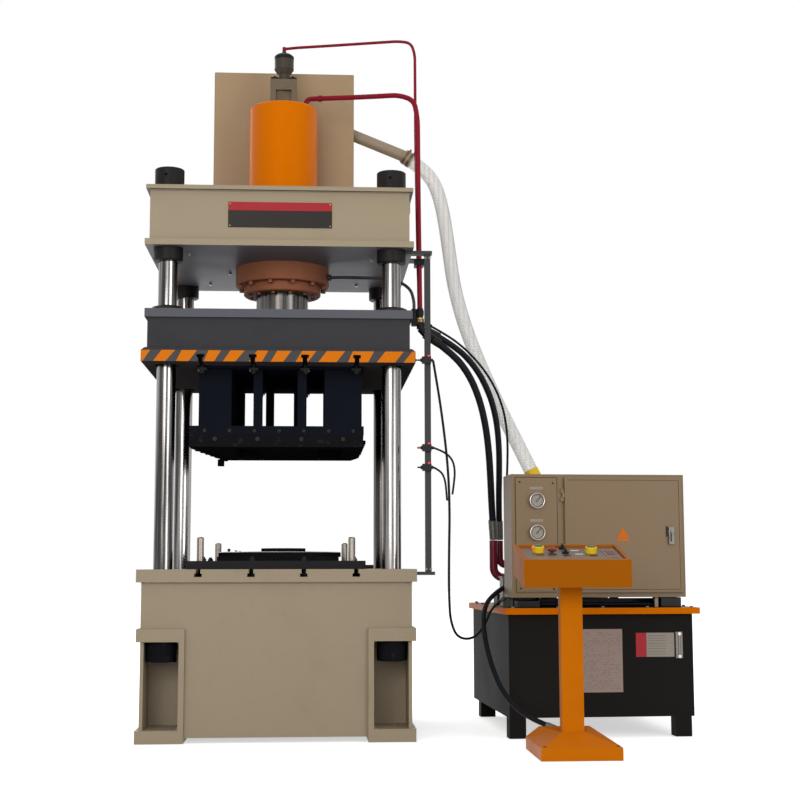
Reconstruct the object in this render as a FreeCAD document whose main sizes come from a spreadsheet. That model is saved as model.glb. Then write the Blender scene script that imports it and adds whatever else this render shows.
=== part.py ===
import FreeCAD, Part
import math
import os
import re
import Sketcher
from FreeCAD import Placement, Rotation, Vector

# Four-column hydraulic press with its power unit and control console, in millimetres.
# Origin: on the floor, on the press axis. +X is the operator's right, +Y runs away from the
# operator and +Z is up.

DIMENSIONS = {
    # bed
    "bed_width": 1320, "bed_depth": 1154, "bed_height": 803, "bed_plate": 60,
    "shell_width": 1274, "shell_depth": 1110, "shell_lift": 24, "wall": 25,
    "corner_in": 430, "corner_out": 655, "corner_rib": 26,
    "foot_plate": 60, "bearing_low": 466, "bearing_plate": 60, "pocket_out": 621,
    "pocket_back": 330, "bay_x": 405, "bay_y": 285,
    "anchor_x": 560, "anchor_y": 400, "anchor_bore": 30,
    "slot_near": 124, "slot_far": 372, "slot_mouth": 22, "slot_neck": 20,
    "slot_under": 36, "slot_head": 16,
    # columns, their nuts and the crown
    "column_x": 545, "column_y": 484, "column_bore": 92, "column_low": 374, "column_top": 2747,
    "nut_width": 144, "nut_height": 96, "collar_height": 66, "column_gap": 0.3,
    "crown_width": 1300, "crown_depth": 1158, "crown_low": 2358, "crown_top": 2655,
    "crown_floor": 30, "crown_roof": 20, "crown_body_x": 630, "crown_body_y": 555,
    # main cylinder
    "barrel_radius": 181, "bore_radius": 150, "barrel_top": 3221, "barrel_head": 50,
    "flange_radius": 243, "flange_low": 2265, "gland_radius": 200, "gland_low": 2216,
    "rod_radius": 134.95, "piston_low": 2800, "piston_length": 110, "fit": 0.05,
    "valve_width": 140, "valve_height": 152,
    # prefill tank on the crown
    "header_width": 762, "header_depth": 300, "header_front": 220, "header_top": 3505,
    "sheet": 5,
    # slide
    "slide_width": 1304, "slide_depth": 1254, "slide_low": 1783, "stripe_height": 54,
    "slide_bevel": 15, "slide_body_x": 627, "slide_body_y": 600, "slide_roof_x": 640,
    "slide_roof_y": 615, "slide_roof_low": 1999, "slide_top": 2040, "bush_height": 29,
    # moulds
    "mould_left": 443, "mould_right": 421, "mould_depth": 900, "bolster": 40,
    "upper_plate": 12, "carrier_low": 1451, "carrier_top": 1494, "retainer_low": 1392,
    "guide_radius": 17, "guide_x": 365, "guide_y": 410, "guide_top": 957,
    # limit switch rail beside the right columns
    "rail_size": 29, "rail_left": 707, "rail_low": 790, "rail_top": 2340,
    # power unit, in its own frame: u to the right along its front, v to the back
    "unit_x": 1105, "unit_y": -497, "unit_turn": 2.5,
    "oil_width": 906, "oil_depth": 1077, "oil_low": 96, "lid_low": 585, "lid_top": 615,
    "lid_side": 25, "lid_front": 30, "cab_left": 29, "cab_right": 893, "cab_front": 50,
    "cab_back": 260, "cab_low": 664, "cab_top": 1263, "cab_sheet": 3,
    "door_left": 290, "door_right": 878, "door_low": 688, "door_top": 1249,
    "gauge_high": 1133, "gauge_low": 978, "gauge_radius": 38,
    # console
    "stand_x": 1303, "stand_front": -1286, "stand_width": 350, "stand_depth": 432,
    "skirt": 53, "stand_top": 104, "post": 96, "box_width": 466, "box_depth": 300,
    "box_front_low": 724, "box_front_high": 842, "box_back_low": 774, "box_back_high": 912,
    "box_rim": 18, "panel_drop": 10,
}

doc = FreeCAD.newDocument("HydraulicPress")
sheet = doc.addObject("Spreadsheet::Sheet", "Sizes")
for row, (word, size) in enumerate(DIMENSIONS.items(), start=1):
    sheet.set(f"A{row}", word)
    sheet.set(f"B{row}", str(size))
    sheet.setAlias(f"B{row}", word)
doc.recompute()

X_AXIS = Vector(1, 0, 0)
Y_AXIS = Vector(0, 1, 0)
Z_AXIS = Vector(0, 0, 1)
SIDES = (-1, 1)
CORNERS = tuple((sx, sy) for sy in SIDES for sx in SIDES)
nodes = []


def size(word):
    """The number that the sheet holds under this word."""
    return float(sheet.get(word))


def bind(thing, path, formula):
    """Tie a property to a formula of the sheet's words, or set it to a plain number."""
    cells = re.sub(r"[a-z][a-z_]*", lambda found: f"Sizes.{found.group()}", str(formula))
    thing.setExpression(path, cells)


def box(name, extent, low):
    """A block from its three extents and its low corner, as formulas or numbers."""
    block = doc.addObject("Part::Box", name)
    for path, formula in zip(("Length", "Width", "Height"), extent):
        bind(block, path, formula)
    for path, formula in zip(("x", "y", "z"), low):
        bind(block, f"Placement.Base.{path}", formula)
    return block


def rod(name, radius, length, at, axis=Z_AXIS):
    """A round bar from the centre of its first face, along axis."""
    bar = doc.addObject("Part::Cylinder", name)
    bind(bar, "Radius", radius)
    bind(bar, "Height", length)
    if axis != Z_AXIS:
        bar.Placement = Placement(Vector(*at), Rotation(Z_AXIS, axis))
        return bar
    for path, formula in zip(("x", "y", "z"), at):
        bind(bar, f"Placement.Base.{path}", formula)
    return bar


def fuse(name, shapes):
    joined = doc.addObject("Part::MultiFuse", name)
    joined.Shapes = shapes
    joined.Refine = True
    return joined


def cut(name, base, tool):
    rest = doc.addObject("Part::Cut", name)
    rest.Base = base
    rest.Tool = tool
    return rest


def group(name, shapes):
    """Separate solids that share one node."""
    several = doc.addObject("Part::Compound", name)
    several.Links = shapes
    return several


def chamfered(name, base, edges, width):
    edge_cut = doc.addObject("Part::Chamfer", name)
    edge_cut.Base = base
    edge_cut.Edges = [(edge, width, width) for edge in edges]
    return edge_cut


def node(label, thing, placement=None):
    """Name a finished sub-part, and move it to its place if it has its own frame."""
    thing.Label = label
    if placement is not None:
        thing.Placement = placement
    nodes.append(thing)
    return thing


def origin_plane(body, role):
    return next(item for item in body.Origin.OriginFeatures if item.Role == role)


def outline(body, role, corners, lift=0):
    """A closed sketch of straight sides whose corners are pairs of formulas."""
    sketch = body.newObject("Sketcher::SketchObject", body.Name + "_outline")
    sketch.AttachmentSupport = (origin_plane(body, role), "")
    sketch.MapMode = "FlatFace"
    sketch.AttachmentOffset = Placement(Vector(0, 0, lift), Rotation())
    points = [Vector(across, up, 0) for across, up in corners]
    count = len(points)
    for index in range(count):
        side = Part.LineSegment(points[index], points[(index + 1) % count])
        sketch.addGeometry(side, False)
    for index in range(count):
        sketch.addConstraint(Sketcher.Constraint("Coincident", index, 2, (index + 1) % count, 1))
    return sketch


def turned(label, corners, place=None, node_name=True):
    """A body turned about Z from half its section, as (radius, height) pairs."""
    body = doc.addObject("PartDesign::Body", label)
    sketch = outline(body, "XZ_Plane", corners)
    turn = body.newObject("PartDesign::Revolution", label + "_turn")
    turn.Profile = sketch
    turn.ReferenceAxis = (sketch, ["V_Axis"])
    turn.Angle = 360
    body.Tip = turn
    if place is not None:
        body.Placement = place
    if node_name:
        node(label, body)
    return body


def padded(label, role, corners, length, lift=0):
    """A body padded from an outline of straight sides."""
    body = doc.addObject("PartDesign::Body", label)
    sketch = outline(body, role, corners, lift)
    pad = body.newObject("PartDesign::Pad", label + "_pad")
    pad.Profile = sketch
    bind(pad, "Length", length)
    body.Tip = pad
    return body


def tube(radius, stations):
    """A round tube along straight runs joined by tangent arcs."""
    points = [Vector(*station) for station in stations]
    edges = []
    start = points[0]
    for before, corner, after in zip(points, points[1:], points[2:]):
        inward = (before - corner).normalize()
        outward = (after - corner).normalize()
        half_turn = (math.pi - inward.getAngle(outward)) / 2
        shorter = min(corner.distanceToPoint(before), corner.distanceToPoint(after))
        setback = 0.45 * shorter
        bend = setback / math.tan(half_turn)
        bisector = (inward + outward).normalize()
        centre = corner + bisector * math.hypot(bend, setback)
        near = corner + inward * setback
        far = corner + outward * setback
        edges.append(Part.LineSegment(start, near).toShape())
        edges.append(Part.Arc(near, centre - bisector * bend, far).toShape())
        start = far
    edges.append(Part.LineSegment(start, points[-1]).toShape())
    spine = Part.Wire(edges)
    mouth = Part.Wire(Part.makeCircle(radius, points[0], points[1] - points[0]))
    shape = spine.makePipeShell([mouth], True, False)
    share = shape.Volume / (math.pi * radius * radius * spine.Length)
    print(f"tube radius {radius} length {spine.Length:.0f} filled {share:.4f}")
    return shape


def coded(name, shape):
    """A part whose shape no parametric feature makes: a bent pipe or hose."""
    thing = doc.addObject("Part::Feature", name)
    thing.Shape = shape
    return thing


def faceted(foot, head):
    """A solid between two level outlines with the same number of corners."""
    foot = [Vector(*corner) for corner in foot]
    head = [Vector(*corner) for corner in head]
    faces = [Part.Face(Part.makePolygon(ring + ring[:1])) for ring in (foot, head)]
    for index in range(len(foot)):
        after = (index + 1) % len(foot)
        lower = (foot[index], foot[after], head[after])
        upper = (foot[index], head[after], head[index])
        for corners in (lower, upper):
            faces.append(Part.Face(Part.makePolygon(list(corners) + [corners[0]])))
    solid = Part.Solid(Part.Shell(faces))
    if solid.Volume < 0:
        solid.reverse()
    return solid


def bar_between(name, radius, first, second):
    """A round bar from one point to another."""
    way = Vector(*second) - Vector(*first)
    return rod(name, radius, round(way.Length, 3), first, way.normalize())


# ---------------------------------------------------------------- bed
# A weldment: a slotted table on a deck, wall panels, and at each corner a box with an open pocket
# in which the column's nut and the anchor bolt are reached.
table_cuts = []
for index, (sx, sy) in enumerate(CORNERS):
    table_cuts.append(
        rod(f"table_hole_{index}", "column_bore/2+column_gap", 100,
            (f"{sx}*column_x", f"{sy}*column_y", "bed_height-bed_plate-10"))
    )
for index, along in enumerate(("-slot_far", "-slot_near", "slot_near", "slot_far")):
    table_cuts.append(
        box(f"bed_slot_{index}", ("slot_mouth", "bed_depth+2", "slot_neck+1"),
            (f"{along}-slot_mouth/2", "-bed_depth/2-1", "bed_height-slot_neck"))
    )
    table_cuts.append(
        box(f"bed_slot_foot_{index}", ("slot_under", "bed_depth+2", "slot_head"),
            (f"{along}-slot_under/2", "-bed_depth/2-1", "bed_height-slot_neck-slot_head"))
    )
table = box(
    "bed_top", ("bed_width", "bed_depth", "bed_plate"),
    ("-bed_width/2", "-bed_depth/2", "bed_height-bed_plate"),
)
bed_solids = [cut("bed_table", table, fuse("table_cuts", table_cuts))]
deck_low = "bed_height-bed_plate-wall"
bed_solids.append(
    box("bed_deck", ("2*bay_x", "shell_depth", "wall"), ("-bay_x", "-shell_depth/2", deck_low))
)
for sign in SIDES:
    side_x = "bay_x" if sign > 0 else "-shell_width/2"
    wall_x = "shell_width/2-wall" if sign > 0 else "-shell_width/2"
    wall_y = "shell_depth/2-wall" if sign > 0 else "-shell_depth/2"
    panel = f"{deck_low}-shell_lift"
    bed_solids += [
        box("deck_side", ("shell_width/2-bay_x", "2*bay_y", "wall"), (side_x, "-bay_y", deck_low)),
        box("bed_face", ("2*bay_x", "wall", panel), ("-bay_x", wall_y, "shell_lift")),
        box("bed_flank", ("wall", "2*bay_y", panel), (wall_x, "-bay_y", "shell_lift")),
    ]


def corner_box(word, sx, sy, low, high):
    """A plate of one bed corner, between two points of the corner at plus X and plus Y."""
    spot = [low[0] if sx > 0 else f"-({high[0]})", low[1] if sy > 0 else f"-({high[1]})", low[2]]
    return box(word, [f"({b})-({a})" for a, b in zip(low, high)], spot)


for index, (sx, sy) in enumerate(CORNERS):
    pocket_in = "corner_in+corner_rib"
    block = fuse(f"block_{index}", [
        corner_box("corner_block", sx, sy, ("bay_x", "bay_y", "bearing_low"),
                   ("shell_width/2", "shell_depth/2", "bed_height-bed_plate")),
        corner_box("bearing", sx, sy, ("corner_in", "pocket_back", "bearing_low"),
                   ("corner_out", "bed_depth/2", "bearing_low+bearing_plate")),
    ])
    column_hole = rod(f"column_hole_{index}", "column_bore/2+column_gap", 400,
                      (f"{sx}*column_x", f"{sy}*column_y", 400))
    foot = corner_box("foot", sx, sy, (pocket_in, "bay_y", "0"),
                      ("corner_out", "bed_depth/2", "foot_plate"))
    anchor_hole = rod(f"anchor_hole_{index}", "anchor_bore/2", "foot_plate+2",
                      (f"{sx}*anchor_x", f"{sy}*anchor_y", -1))
    bed_solids += [
        cut(f"corner_head_{index}", block, column_hole),
        fuse(f"corner_wall_{index}", [
            corner_box("inner_wall", sx, sy, ("bay_x", "bay_y", "shell_lift"),
                       (pocket_in, "shell_depth/2", "bearing_low")),
            corner_box("rib", sx, sy, ("corner_in", "pocket_back", "0"),
                       (pocket_in, "bed_depth/2", "bearing_low")),
        ]),
        corner_box("pocket_wall", sx, sy, (pocket_in, "bay_y", "foot_plate"),
                   ("shell_width/2", "pocket_back", "bearing_low")),
        corner_box("cheek", sx, sy, ("pocket_out", "pocket_back", "foot_plate"),
                   ("shell_width/2", "shell_depth/2", "bearing_low")),
        cut(f"corner_foot_{index}", foot, anchor_hole),
    ]
node("bed_frame", group("bed", bed_solids))

columns = []
low_nuts = []
crown_nuts = []
half = size("column_bore") / 2
low = size("column_low")
top = size("column_top")
nut = size("nut_width") / 2
rise = size("nut_height")
nut_low = size("bearing_low") - rise
seat = size("crown_top")
collar = size("crown_low") - size("collar_height")
for index, (sx, sy) in enumerate(CORNERS):
    place = Placement(Vector(sx * size("column_x"), sy * size("column_y"), 0), Rotation())
    columns.append(
        turned(f"column_{index}",
               [(0, low), (half - 4, low), (half, low + 4), (half, top - 4), (half - 4, top), (0, top)],
               place, False)
    )
    low_nuts.append(
        turned(f"low_nut_{index}",
               [(half, nut_low), (nut - 3, nut_low), (nut, nut_low + 3), (nut, nut_low + rise),
                (half, nut_low + rise)],
               place, False)
    )
    top_nut = turned(
        f"top_nut_{index}",
        [(half, seat), (nut, seat), (nut, seat + rise - 3), (nut - 3, seat + rise), (half, seat + rise)],
        place, False,
    )
    spanner_hole = rod(
        f"spanner_hole_{index}", 8, 20,
        (sx * size("column_x") - 10, sy * size("column_y") - nut - 2, seat + 55), Y_AXIS,
    )
    crown_nuts.append(cut(f"drilled_nut_{index}", top_nut, spanner_hole))
    crown_nuts.append(
        turned(f"collar_{index}",
               [(half, collar), (nut - 5, collar), (nut, collar + 5), (nut, size("crown_low")),
                (half, size("crown_low"))],
               place, False)
    )
node("tie_columns", group("columns", columns))
node("lower_nuts", group("low_nuts", low_nuts))
node("crown_nuts", group("top_nuts", crown_nuts))

# ---------------------------------------------------------------- crown
crown_body = box(
    "crown_body", ("2*crown_body_x", "2*crown_body_y", "crown_top-crown_roof-crown_low-crown_floor"),
    ("-crown_body_x", "-crown_body_y", "crown_low+crown_floor"),
)
crown_floor = box(
    "crown_bottom", ("crown_width", "crown_depth", "crown_floor"),
    ("-crown_width/2", "-crown_depth/2", "crown_low"),
)
crown_roof = box(
    "crown_lid", ("crown_width-4", "crown_depth", "crown_roof"),
    ("-crown_width/2+2", "-crown_depth/2", "crown_top-crown_roof"),
)
crown_parts = [crown_body, crown_floor, crown_roof]
for sx in SIDES:
    for number, along in enumerate((-400, -12, 376)):
        gusset_x = "crown_body_x" if sx > 0 else "-crown_body_x-14"
        crown_parts.append(
            box(f"crown_gusset_{number}", (14, 24, 60),
                (gusset_x, along, "crown_top-crown_roof-60"))
        )
crown_hollow = [rod("barrel_hole", "barrel_radius", 400, (0, 0, "crown_low-1"))]
for index, (sx, sy) in enumerate(CORNERS):
    crown_hollow.append(
        rod(f"crown_hole_{index}", "column_bore/2+column_gap", 400,
            (f"{sx}*column_x", f"{sy}*column_y", "crown_low-1"))
    )
node("crown_frame", cut("crown", fuse("crown_solid", crown_parts), fuse("crown_spaces", crown_hollow)))

# ---------------------------------------------------------------- main cylinder
barrel = size("barrel_radius")
bore = size("bore_radius")
head = size("barrel_top")
flange_low = size("flange_low")
turned(
    "cylinder_barrel",
    [(bore, flange_low), (barrel, flange_low), (barrel, head - 6), (barrel - 6, head), (0, head),
     (0, head - size("barrel_head")), (bore, head - size("barrel_head"))],
)
flange = size("flange_radius")
turned(
    "cylinder_flange",
    [(barrel, flange_low), (flange - 4, flange_low), (flange, flange_low + 4),
     (flange, size("crown_low")), (barrel, size("crown_low"))],
)
gland = size("gland_radius")
gland_low = size("gland_low")
rod_hole = size("rod_radius") + size("fit")
turned(
    "gland_ring",
    [(rod_hole, gland_low), (gland - 6, gland_low), (gland, gland_low + 6), (gland, flange_low),
     (rod_hole, flange_low)],
)
bolt_heads = []
for index in range(12):
    turn = math.radians(15 + 30 * index)
    bolt_heads.append(
        rod(f"flange_bolt_{index}", 12, 16,
            (round(222 * math.cos(turn), 3), round(222 * math.sin(turn), 3), "flange_low-16"))
    )
    bolt_heads.append(
        rod(f"gland_bolt_{index}", 9, 10,
            (round(167 * math.cos(turn), 3), round(167 * math.sin(turn), 3), "gland_low-10"))
    )
node("cylinder_bolts", group("bolt_heads", bolt_heads))

valve_solid = box(
    "valve_block", ("valve_width", "valve_width", "valve_height"),
    ("-valve_width/2", "-valve_width/2", "barrel_top"),
)
valve_recess = box("valve_recess", (82, 30, 64), (-41, "-valve_width/2-10", "barrel_top+30"))
valve_port = rod("valve_port", 13, 30, (50, -12, 3284), X_AXIS)
node("prefill_valve", cut("valve", valve_solid, fuse("valve_cuts", [valve_recess, valve_port])))
turned(
    "pilot_cap",
    [(0, 3373), (31, 3373), (31, 3416), (51.5, 3446), (51.5, 3517), (41, 3527), (12, 3527), (12, 3545),
     (0, 3545)],
)

header_outer = box(
    "header_outer", ("header_width", "header_depth", "header_top-crown_top"),
    ("-header_width/2-2", "header_front", "crown_top"),
)
header_edges = chamfered("header_edges", header_outer, (1, 3, 5, 7), 6)
header_inner = box(
    "header_inner", ("header_width-2*sheet", "header_depth-2*sheet", "header_top-crown_top-2*sheet"),
    ("-header_width/2-2+sheet", "header_front+sheet", "crown_top+sheet"),
)
header_outlet = rod("header_outlet", 26, 20, (370, 330, 3195.5), X_AXIS)
header_filler = rod("header_filler", 45, 20, (-200, 370, 3495))
header_cuts = fuse("header_cuts", [header_inner, header_outlet, header_filler])
filler_cap = turned(
    "filler_cap",
    [(0, 3505), (55, 3505), (55, 3530), (48, 3540), (0, 3540)],
    Placement(Vector(-200, 370, 0), Rotation()), False,
)
node("top_tank", group("header_set", [cut("header", header_edges, header_cuts), filler_cap]))

# ---------------------------------------------------------------- rigid pipes
outlet = cut("outlet_pipe", bar_between("outlet_bar", 32, (355, 330, 3205.2), (668, 330, 3079.3)),
             box("outlet_mitre", (100, 200, 200), (279, 230, 3100)))
outlet_end = bar_between("outlet_band", 41, (660, 330, 3083.7), (705, 330, 3052))
node("tank_outlet", fuse("outlet", [outlet, outlet_end]))
main_route = [(118, -12, 3221), (118, -12, 3284), (181, -31, 3282), (400, -125, 3262), (600, -216, 3246),
              (676, -246, 3210), (694, -250, 3110), (696, -250, 2700), (703, -250, 2080)]
weld_ring = bar_between("weld_ring", 17, (186, -33, 3281), (200, -39, 3280))
main_flange = rod("main_flange", 22, 12, (118, -12, 3221))
node("main_pipe", fuse("main_line", [coded("main_run", tube(13, main_route)), weld_ring, main_flange]))
pilot_route = [(0, 0, 3562), (60, -22, 3562), (243, -90, 3552), (600, -190, 3546), (664, -206, 3532),
               (684, -208, 3470), (686, -208, 3000), (697, -208, 2300), (703, -208, 2150),
               (703, -208, 2064)]
pilot_elbow = rod("pilot_elbow", 10, 26, (0, 0, 3545))
node("pilot_pipe", fuse("pilot_line", [coded("pilot_run", tube(7.5, pilot_route)), pilot_elbow]))
rod_route = [(246, -60, 2310), (330, -90, 2306), (540, -180, 2284), (619, -208, 2254),
             (660, -236, 2212), (673, -250, 2150), (673, -250, 2105)]
rod_flange = bar_between("rod_flange", 17, (240, -60, 2310), (252, -64, 2309.5))
node("rod_side_pipe", fuse("rod_line", [coded("rod_run", tube(8, rod_route)), rod_flange]))

fittings = [
    rod("tee_body", 17, 70, (703, -250, 2010)),
    rod("tee_gland", 20, 24, (703, -250, 2080)),
    rod("rod_union", 15, 80, (673, -250, 2025)),
    box("tee_bridge", (62, 30, 30), (660, -265, 2030)),
    bar_between("hose_1_union", 17, (703, -250, 2012), (730, -251, 1982)),
    bar_between("hose_1_ferrule", 23, (727, -251, 1985), (764, -252, 1960)),
    bar_between("hose_2_union", 14, (700, -240, 2040), (737, -211, 2014)),
    bar_between("hose_2_ferrule", 20, (733, -213, 2016), (765, -200, 2000)),
]
union = fuse("union_set", fittings)
pilot_set = fuse("pilot_set", [
    rod("pilot_tee", 12, 32, (703, -208, 2032)),
    bar_between("pilot_union", 7, (703, -208, 2046), (740, -214, 2044)),
    bar_between("pilot_ferrule", 10, (731, -220.7, 2047), (764, -202, 2033)),
])
clamp_plate = box("clamp_plate", (74, 96, 6), (650, -282, 2362))
clamp_cap = box("clamp_cap", (46, 84, 26), (677, -276, 2336))
clamp = fuse("clamp_set", [clamp_plate, clamp_cap])
clamp_cut = fuse("clamp_cuts", [
    rod("clamp_bore_main", 14.5, 80, (700, -250, 2320)),
    rod("clamp_bore_pilot", 9, 80, (697, -208, 2320)),
])
node("pipe_fittings", group("fitting_set", [union, pilot_set, cut("pipe_clamp", clamp, clamp_cut)]))

# ---------------------------------------------------------------- limit switch rail
rail_outer = box(
    "rail_outer", ("rail_size", "rail_size", "rail_top-rail_low"),
    ("rail_left", "-column_y-rail_size/2", "rail_low"),
)
rail_inner = box(
    "rail_inner", ("rail_size-6", "rail_size-6", "rail_top-rail_low+2"),
    ("rail_left+3", "-column_y-rail_size/2+3", "rail_low-1"),
)
rail_tube = cut("rail_tube", rail_outer, rail_inner)
top_bracket = box("rail_top_bracket", (124, 44, 18), (620, -506, 2340))
low_bracket = box("rail_low_bracket", (92, 44, 16), (660, -506, 774))
node("switch_rail", fuse("rail", [rail_tube, top_bracket, low_bracket]))

switches = []
for number, height in enumerate((1813, 1385, 1290)):
    case = box(f"switch_case_{number}", (44, 26, 34), (692, -525.5, height - 17))
    nose = rod(f"switch_nose_{number}", 9, 8, (684, -512, height), X_AXIS)
    tip = rod(f"switch_tip_{number}", 4, 18, (668, -512, height), X_AXIS)
    gland_nut = rod(f"switch_gland_{number}", 8, 10, (736, -512, height), X_AXIS)
    switches.append(fuse(f"switch_{number}", [case, nose, tip, gland_nut]))
node("limit_switches", group("switch_set", switches))

# ---------------------------------------------------------------- slide
slide_base = chamfered(
    "slide_base",
    box("slide_plate", ("slide_width", "slide_depth", "stripe_height+slide_bevel"),
        ("-slide_width/2", "-slide_depth/2", "slide_low")),
    (2, 6, 10, 12), 14.9,
)
slide_body = box(
    "slide_body", ("2*slide_body_x", "2*slide_body_y",
                   "slide_roof_low-slide_low-stripe_height-slide_bevel"),
    ("-slide_body_x", "-slide_body_y", "slide_low+stripe_height+slide_bevel"),
)
slide_roof = box(
    "slide_roof", ("2*slide_roof_x", "2*slide_roof_y", "slide_top-slide_roof_low"),
    ("-slide_roof_x", "-slide_roof_y", "slide_roof_low"),
)
striker = rod("striker", 5, 18, (649, -512, 1813), X_AXIS)
slide_hollow = []
for index, (sx, sy) in enumerate(CORNERS):
    slide_hollow.append(
        rod(f"bush_hole_{index}", 58, 300, (f"{sx}*column_x", f"{sy}*column_y", "slide_low-10"))
    )
for index, along in enumerate(("-slot_far", "-slot_near", "slot_near", "slot_far")):
    slide_hollow.append(
        box(f"slide_slot_{index}", ("slot_mouth", "slide_depth+2", "slot_neck+1"),
            (f"{along}-slot_mouth/2", "-slide_depth/2-1", "slide_low-1"))
    )
    slide_hollow.append(
        box(f"slide_slot_foot_{index}", ("slot_under", "slide_depth+2", "slot_head"),
            (f"{along}-slot_under/2", "-slide_depth/2-1", "slide_low+slot_neck"))
    )
slide_solid = fuse("slide_solid", [slide_base, slide_body, slide_roof, striker])
node("slide_frame", cut("slide", slide_solid, fuse("slide_hollow", slide_hollow)))

slide_top = size("slide_top")
running = half + size("fit")
bushes = []
for index, (sx, sy) in enumerate(CORNERS):
    place = Placement(Vector(sx * size("column_x"), sy * size("column_y"), 0), Rotation())
    bushes.append(
        turned(f"bush_{index}",
               [(running, 1790), (58, 1790), (58, slide_top), (83, slide_top), (83, slide_top + 14),
                (76, slide_top + 24), (64, slide_top + 29), (running, slide_top + 29)],
               place, False)
    )
node("guide_bushes", group("bushes", bushes))

shaft = size("rod_radius")
piston_low = size("piston_low")
piston_top = piston_low + size("piston_length")
piston = bore - size("fit")
turned(
    "piston_rod",
    [(0, slide_top), (shaft, slide_top), (shaft, piston_low), (piston - 3, piston_low),
     (piston, piston_low + 3), (piston, piston_top - 3), (piston - 3, piston_top), (0, piston_top)],
)

bolts = []
for index, along in enumerate((-372, -124, 124, 372)):
    for sy in SIDES:
        stud = rod(f"stud_{index}_{sy}", 8, 62, (along, 492 * sy, 1745))
        tee = box(f"tee_{index}_{sy}", (32, 30, 12), (along - 16, 492 * sy - 15, 1804))
        nut_body = rod(f"stud_nut_{index}_{sy}", 13, 12, (along, 492 * sy, 1747))
        strap = box(f"strap_{index}_{sy}", (44, 56, 12), (along - 22, -28, 1759))
        bind(strap, "Placement.Base.y", 480 * sy - 28)
        bolts.append(fuse(f"slide_clamp_{index}_{sy}", [stud, tee, nut_body, strap]))
node("slide_bolts", group("slide_clamps", bolts))

# ---------------------------------------------------------------- moulds
carrier = [
    box("hanger_plate", (810, "mould_depth+60", "upper_plate"),
        (-400, "-mould_depth/2-30", "slide_low-upper_plate")),
    box("carrier_plate", ("mould_left+mould_right-20", "mould_depth", "carrier_top-carrier_low"),
        ("-mould_left+10", "-mould_depth/2", "carrier_low")),
]
stretch = "slide_low-upper_plate-carrier_top"
for number, (left, wide, front, deep) in enumerate(
    ((-390, 157, -450, 900), (219, 182, -450, 900), (-126, 44, -450, 44), (88, 44, -450, 44),
     (-233, 30, 300, 44), (-90, 44, 300, 44), (60, 44, 300, 44))
):
    carrier.append(box(f"spacer_{number}", (wide, deep, stretch), (left, front, "carrier_top")))
node("upper_mould_frame", fuse("carrier", carrier))

retainer = padded(
    "retainer", "XY_Plane",
    [(-434, -450), (409, -450), (409, 250), (372, 450), (-325, 450), (-434, -330)],
    "carrier_low-retainer_low", size("retainer_low"),
)
punch = box("punch", (300, 420, 34), (-110, -210, 1400))
mould_bores = [cut("cavity", box("cavity_block", (536, 660, 46), (-225, -330, 1391)), punch)]
head_bolts = []
for number in range(7):
    back = -330 + 110 * number
    head_bolts.append(rod("edge_bolt", 10, 14, (-404 + 0.155 * (back + 330), back, 1379)))
    head_bolts.append(rod("side_bolt", 10, 14, (408, back - 60, 1420), X_AXIS))
head_bolts.append(box("lifting_lug", (34, 34, 36), (-350, 380, 1357)))
pins = []
for index, (sx, sy) in enumerate(CORNERS):
    pin_x = sx * 365 - 10 if sy < 0 else sx * 337
    pin_y = -410 if sy < 0 else 330
    pin_top = size("guide_top") if sy < 0 else 940
    mould_bores.append(rod(f"guide_bore_{index}", 18, 50, (pin_x, pin_y, 1391)))
    pin = size("guide_radius")
    pins.append(
        turned(f"pin_{index}",
               [(0, 843), (pin, 843), (pin, pin_top - 5), (pin - 5, pin_top), (0, pin_top)],
               Placement(Vector(pin_x, pin_y, 0), Rotation()), False)
    )
mould_body = cut("mould_body", retainer, fuse("mould_bores", mould_bores))
node("upper_mould", fuse("top_mould", [mould_body] + head_bolts))
node("guide_pins", group("pin_set", pins))
bolster_plate = box(
    "bolster_plate", ("mould_left+mould_right", "mould_depth", "bolster"),
    ("-mould_left", "-mould_depth/2", "bed_height"),
)
BED_BOLTS = ((-372, 250), (-124, 425), (124, 425), (372, 250))
bolster_holes = []
clamps = []
for index, (along, back) in enumerate(BED_BOLTS):
    for sy in SIDES:
        bolster_holes.append(rod(f"bolster_hole_{index}_{sy}", 9.3, 50, (along, back * sy, 800)))
        stud = rod(f"bed_stud_{index}_{sy}", 9, 85, (along, back * sy, 779))
        tee = box(f"bed_tee_{index}_{sy}", (32, 30, 12), (along - 16, back * sy - 15, 769))
        nut_body = rod(f"bed_nut_{index}_{sy}", 14, 12, (along, back * sy, 843))
        clamps.append(fuse(f"bed_clamp_{index}_{sy}", [stud, tee, nut_body]))
node("lower_bolster", cut("bolster", bolster_plate, fuse("bolster_holes", bolster_holes)))
mould_plate = box("mould_plate", (596, 620, 21), (-302, -310, 843))
mould_ring = rod("mould_ring", 312, 22, (-2, 0, 864))
mould_seat = rod("mould_seat", 250, 10, (-2, 0, 877))
mould_core = rod("mould_core", 113, 32, (16, 0, 876))
node(
    "lower_mould",
    fuse("base_mould", [mould_plate, cut("ring_cut", mould_ring, mould_seat), mould_core]),
)

node("bed_bolts", group("bed_clamps", clamps))

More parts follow.
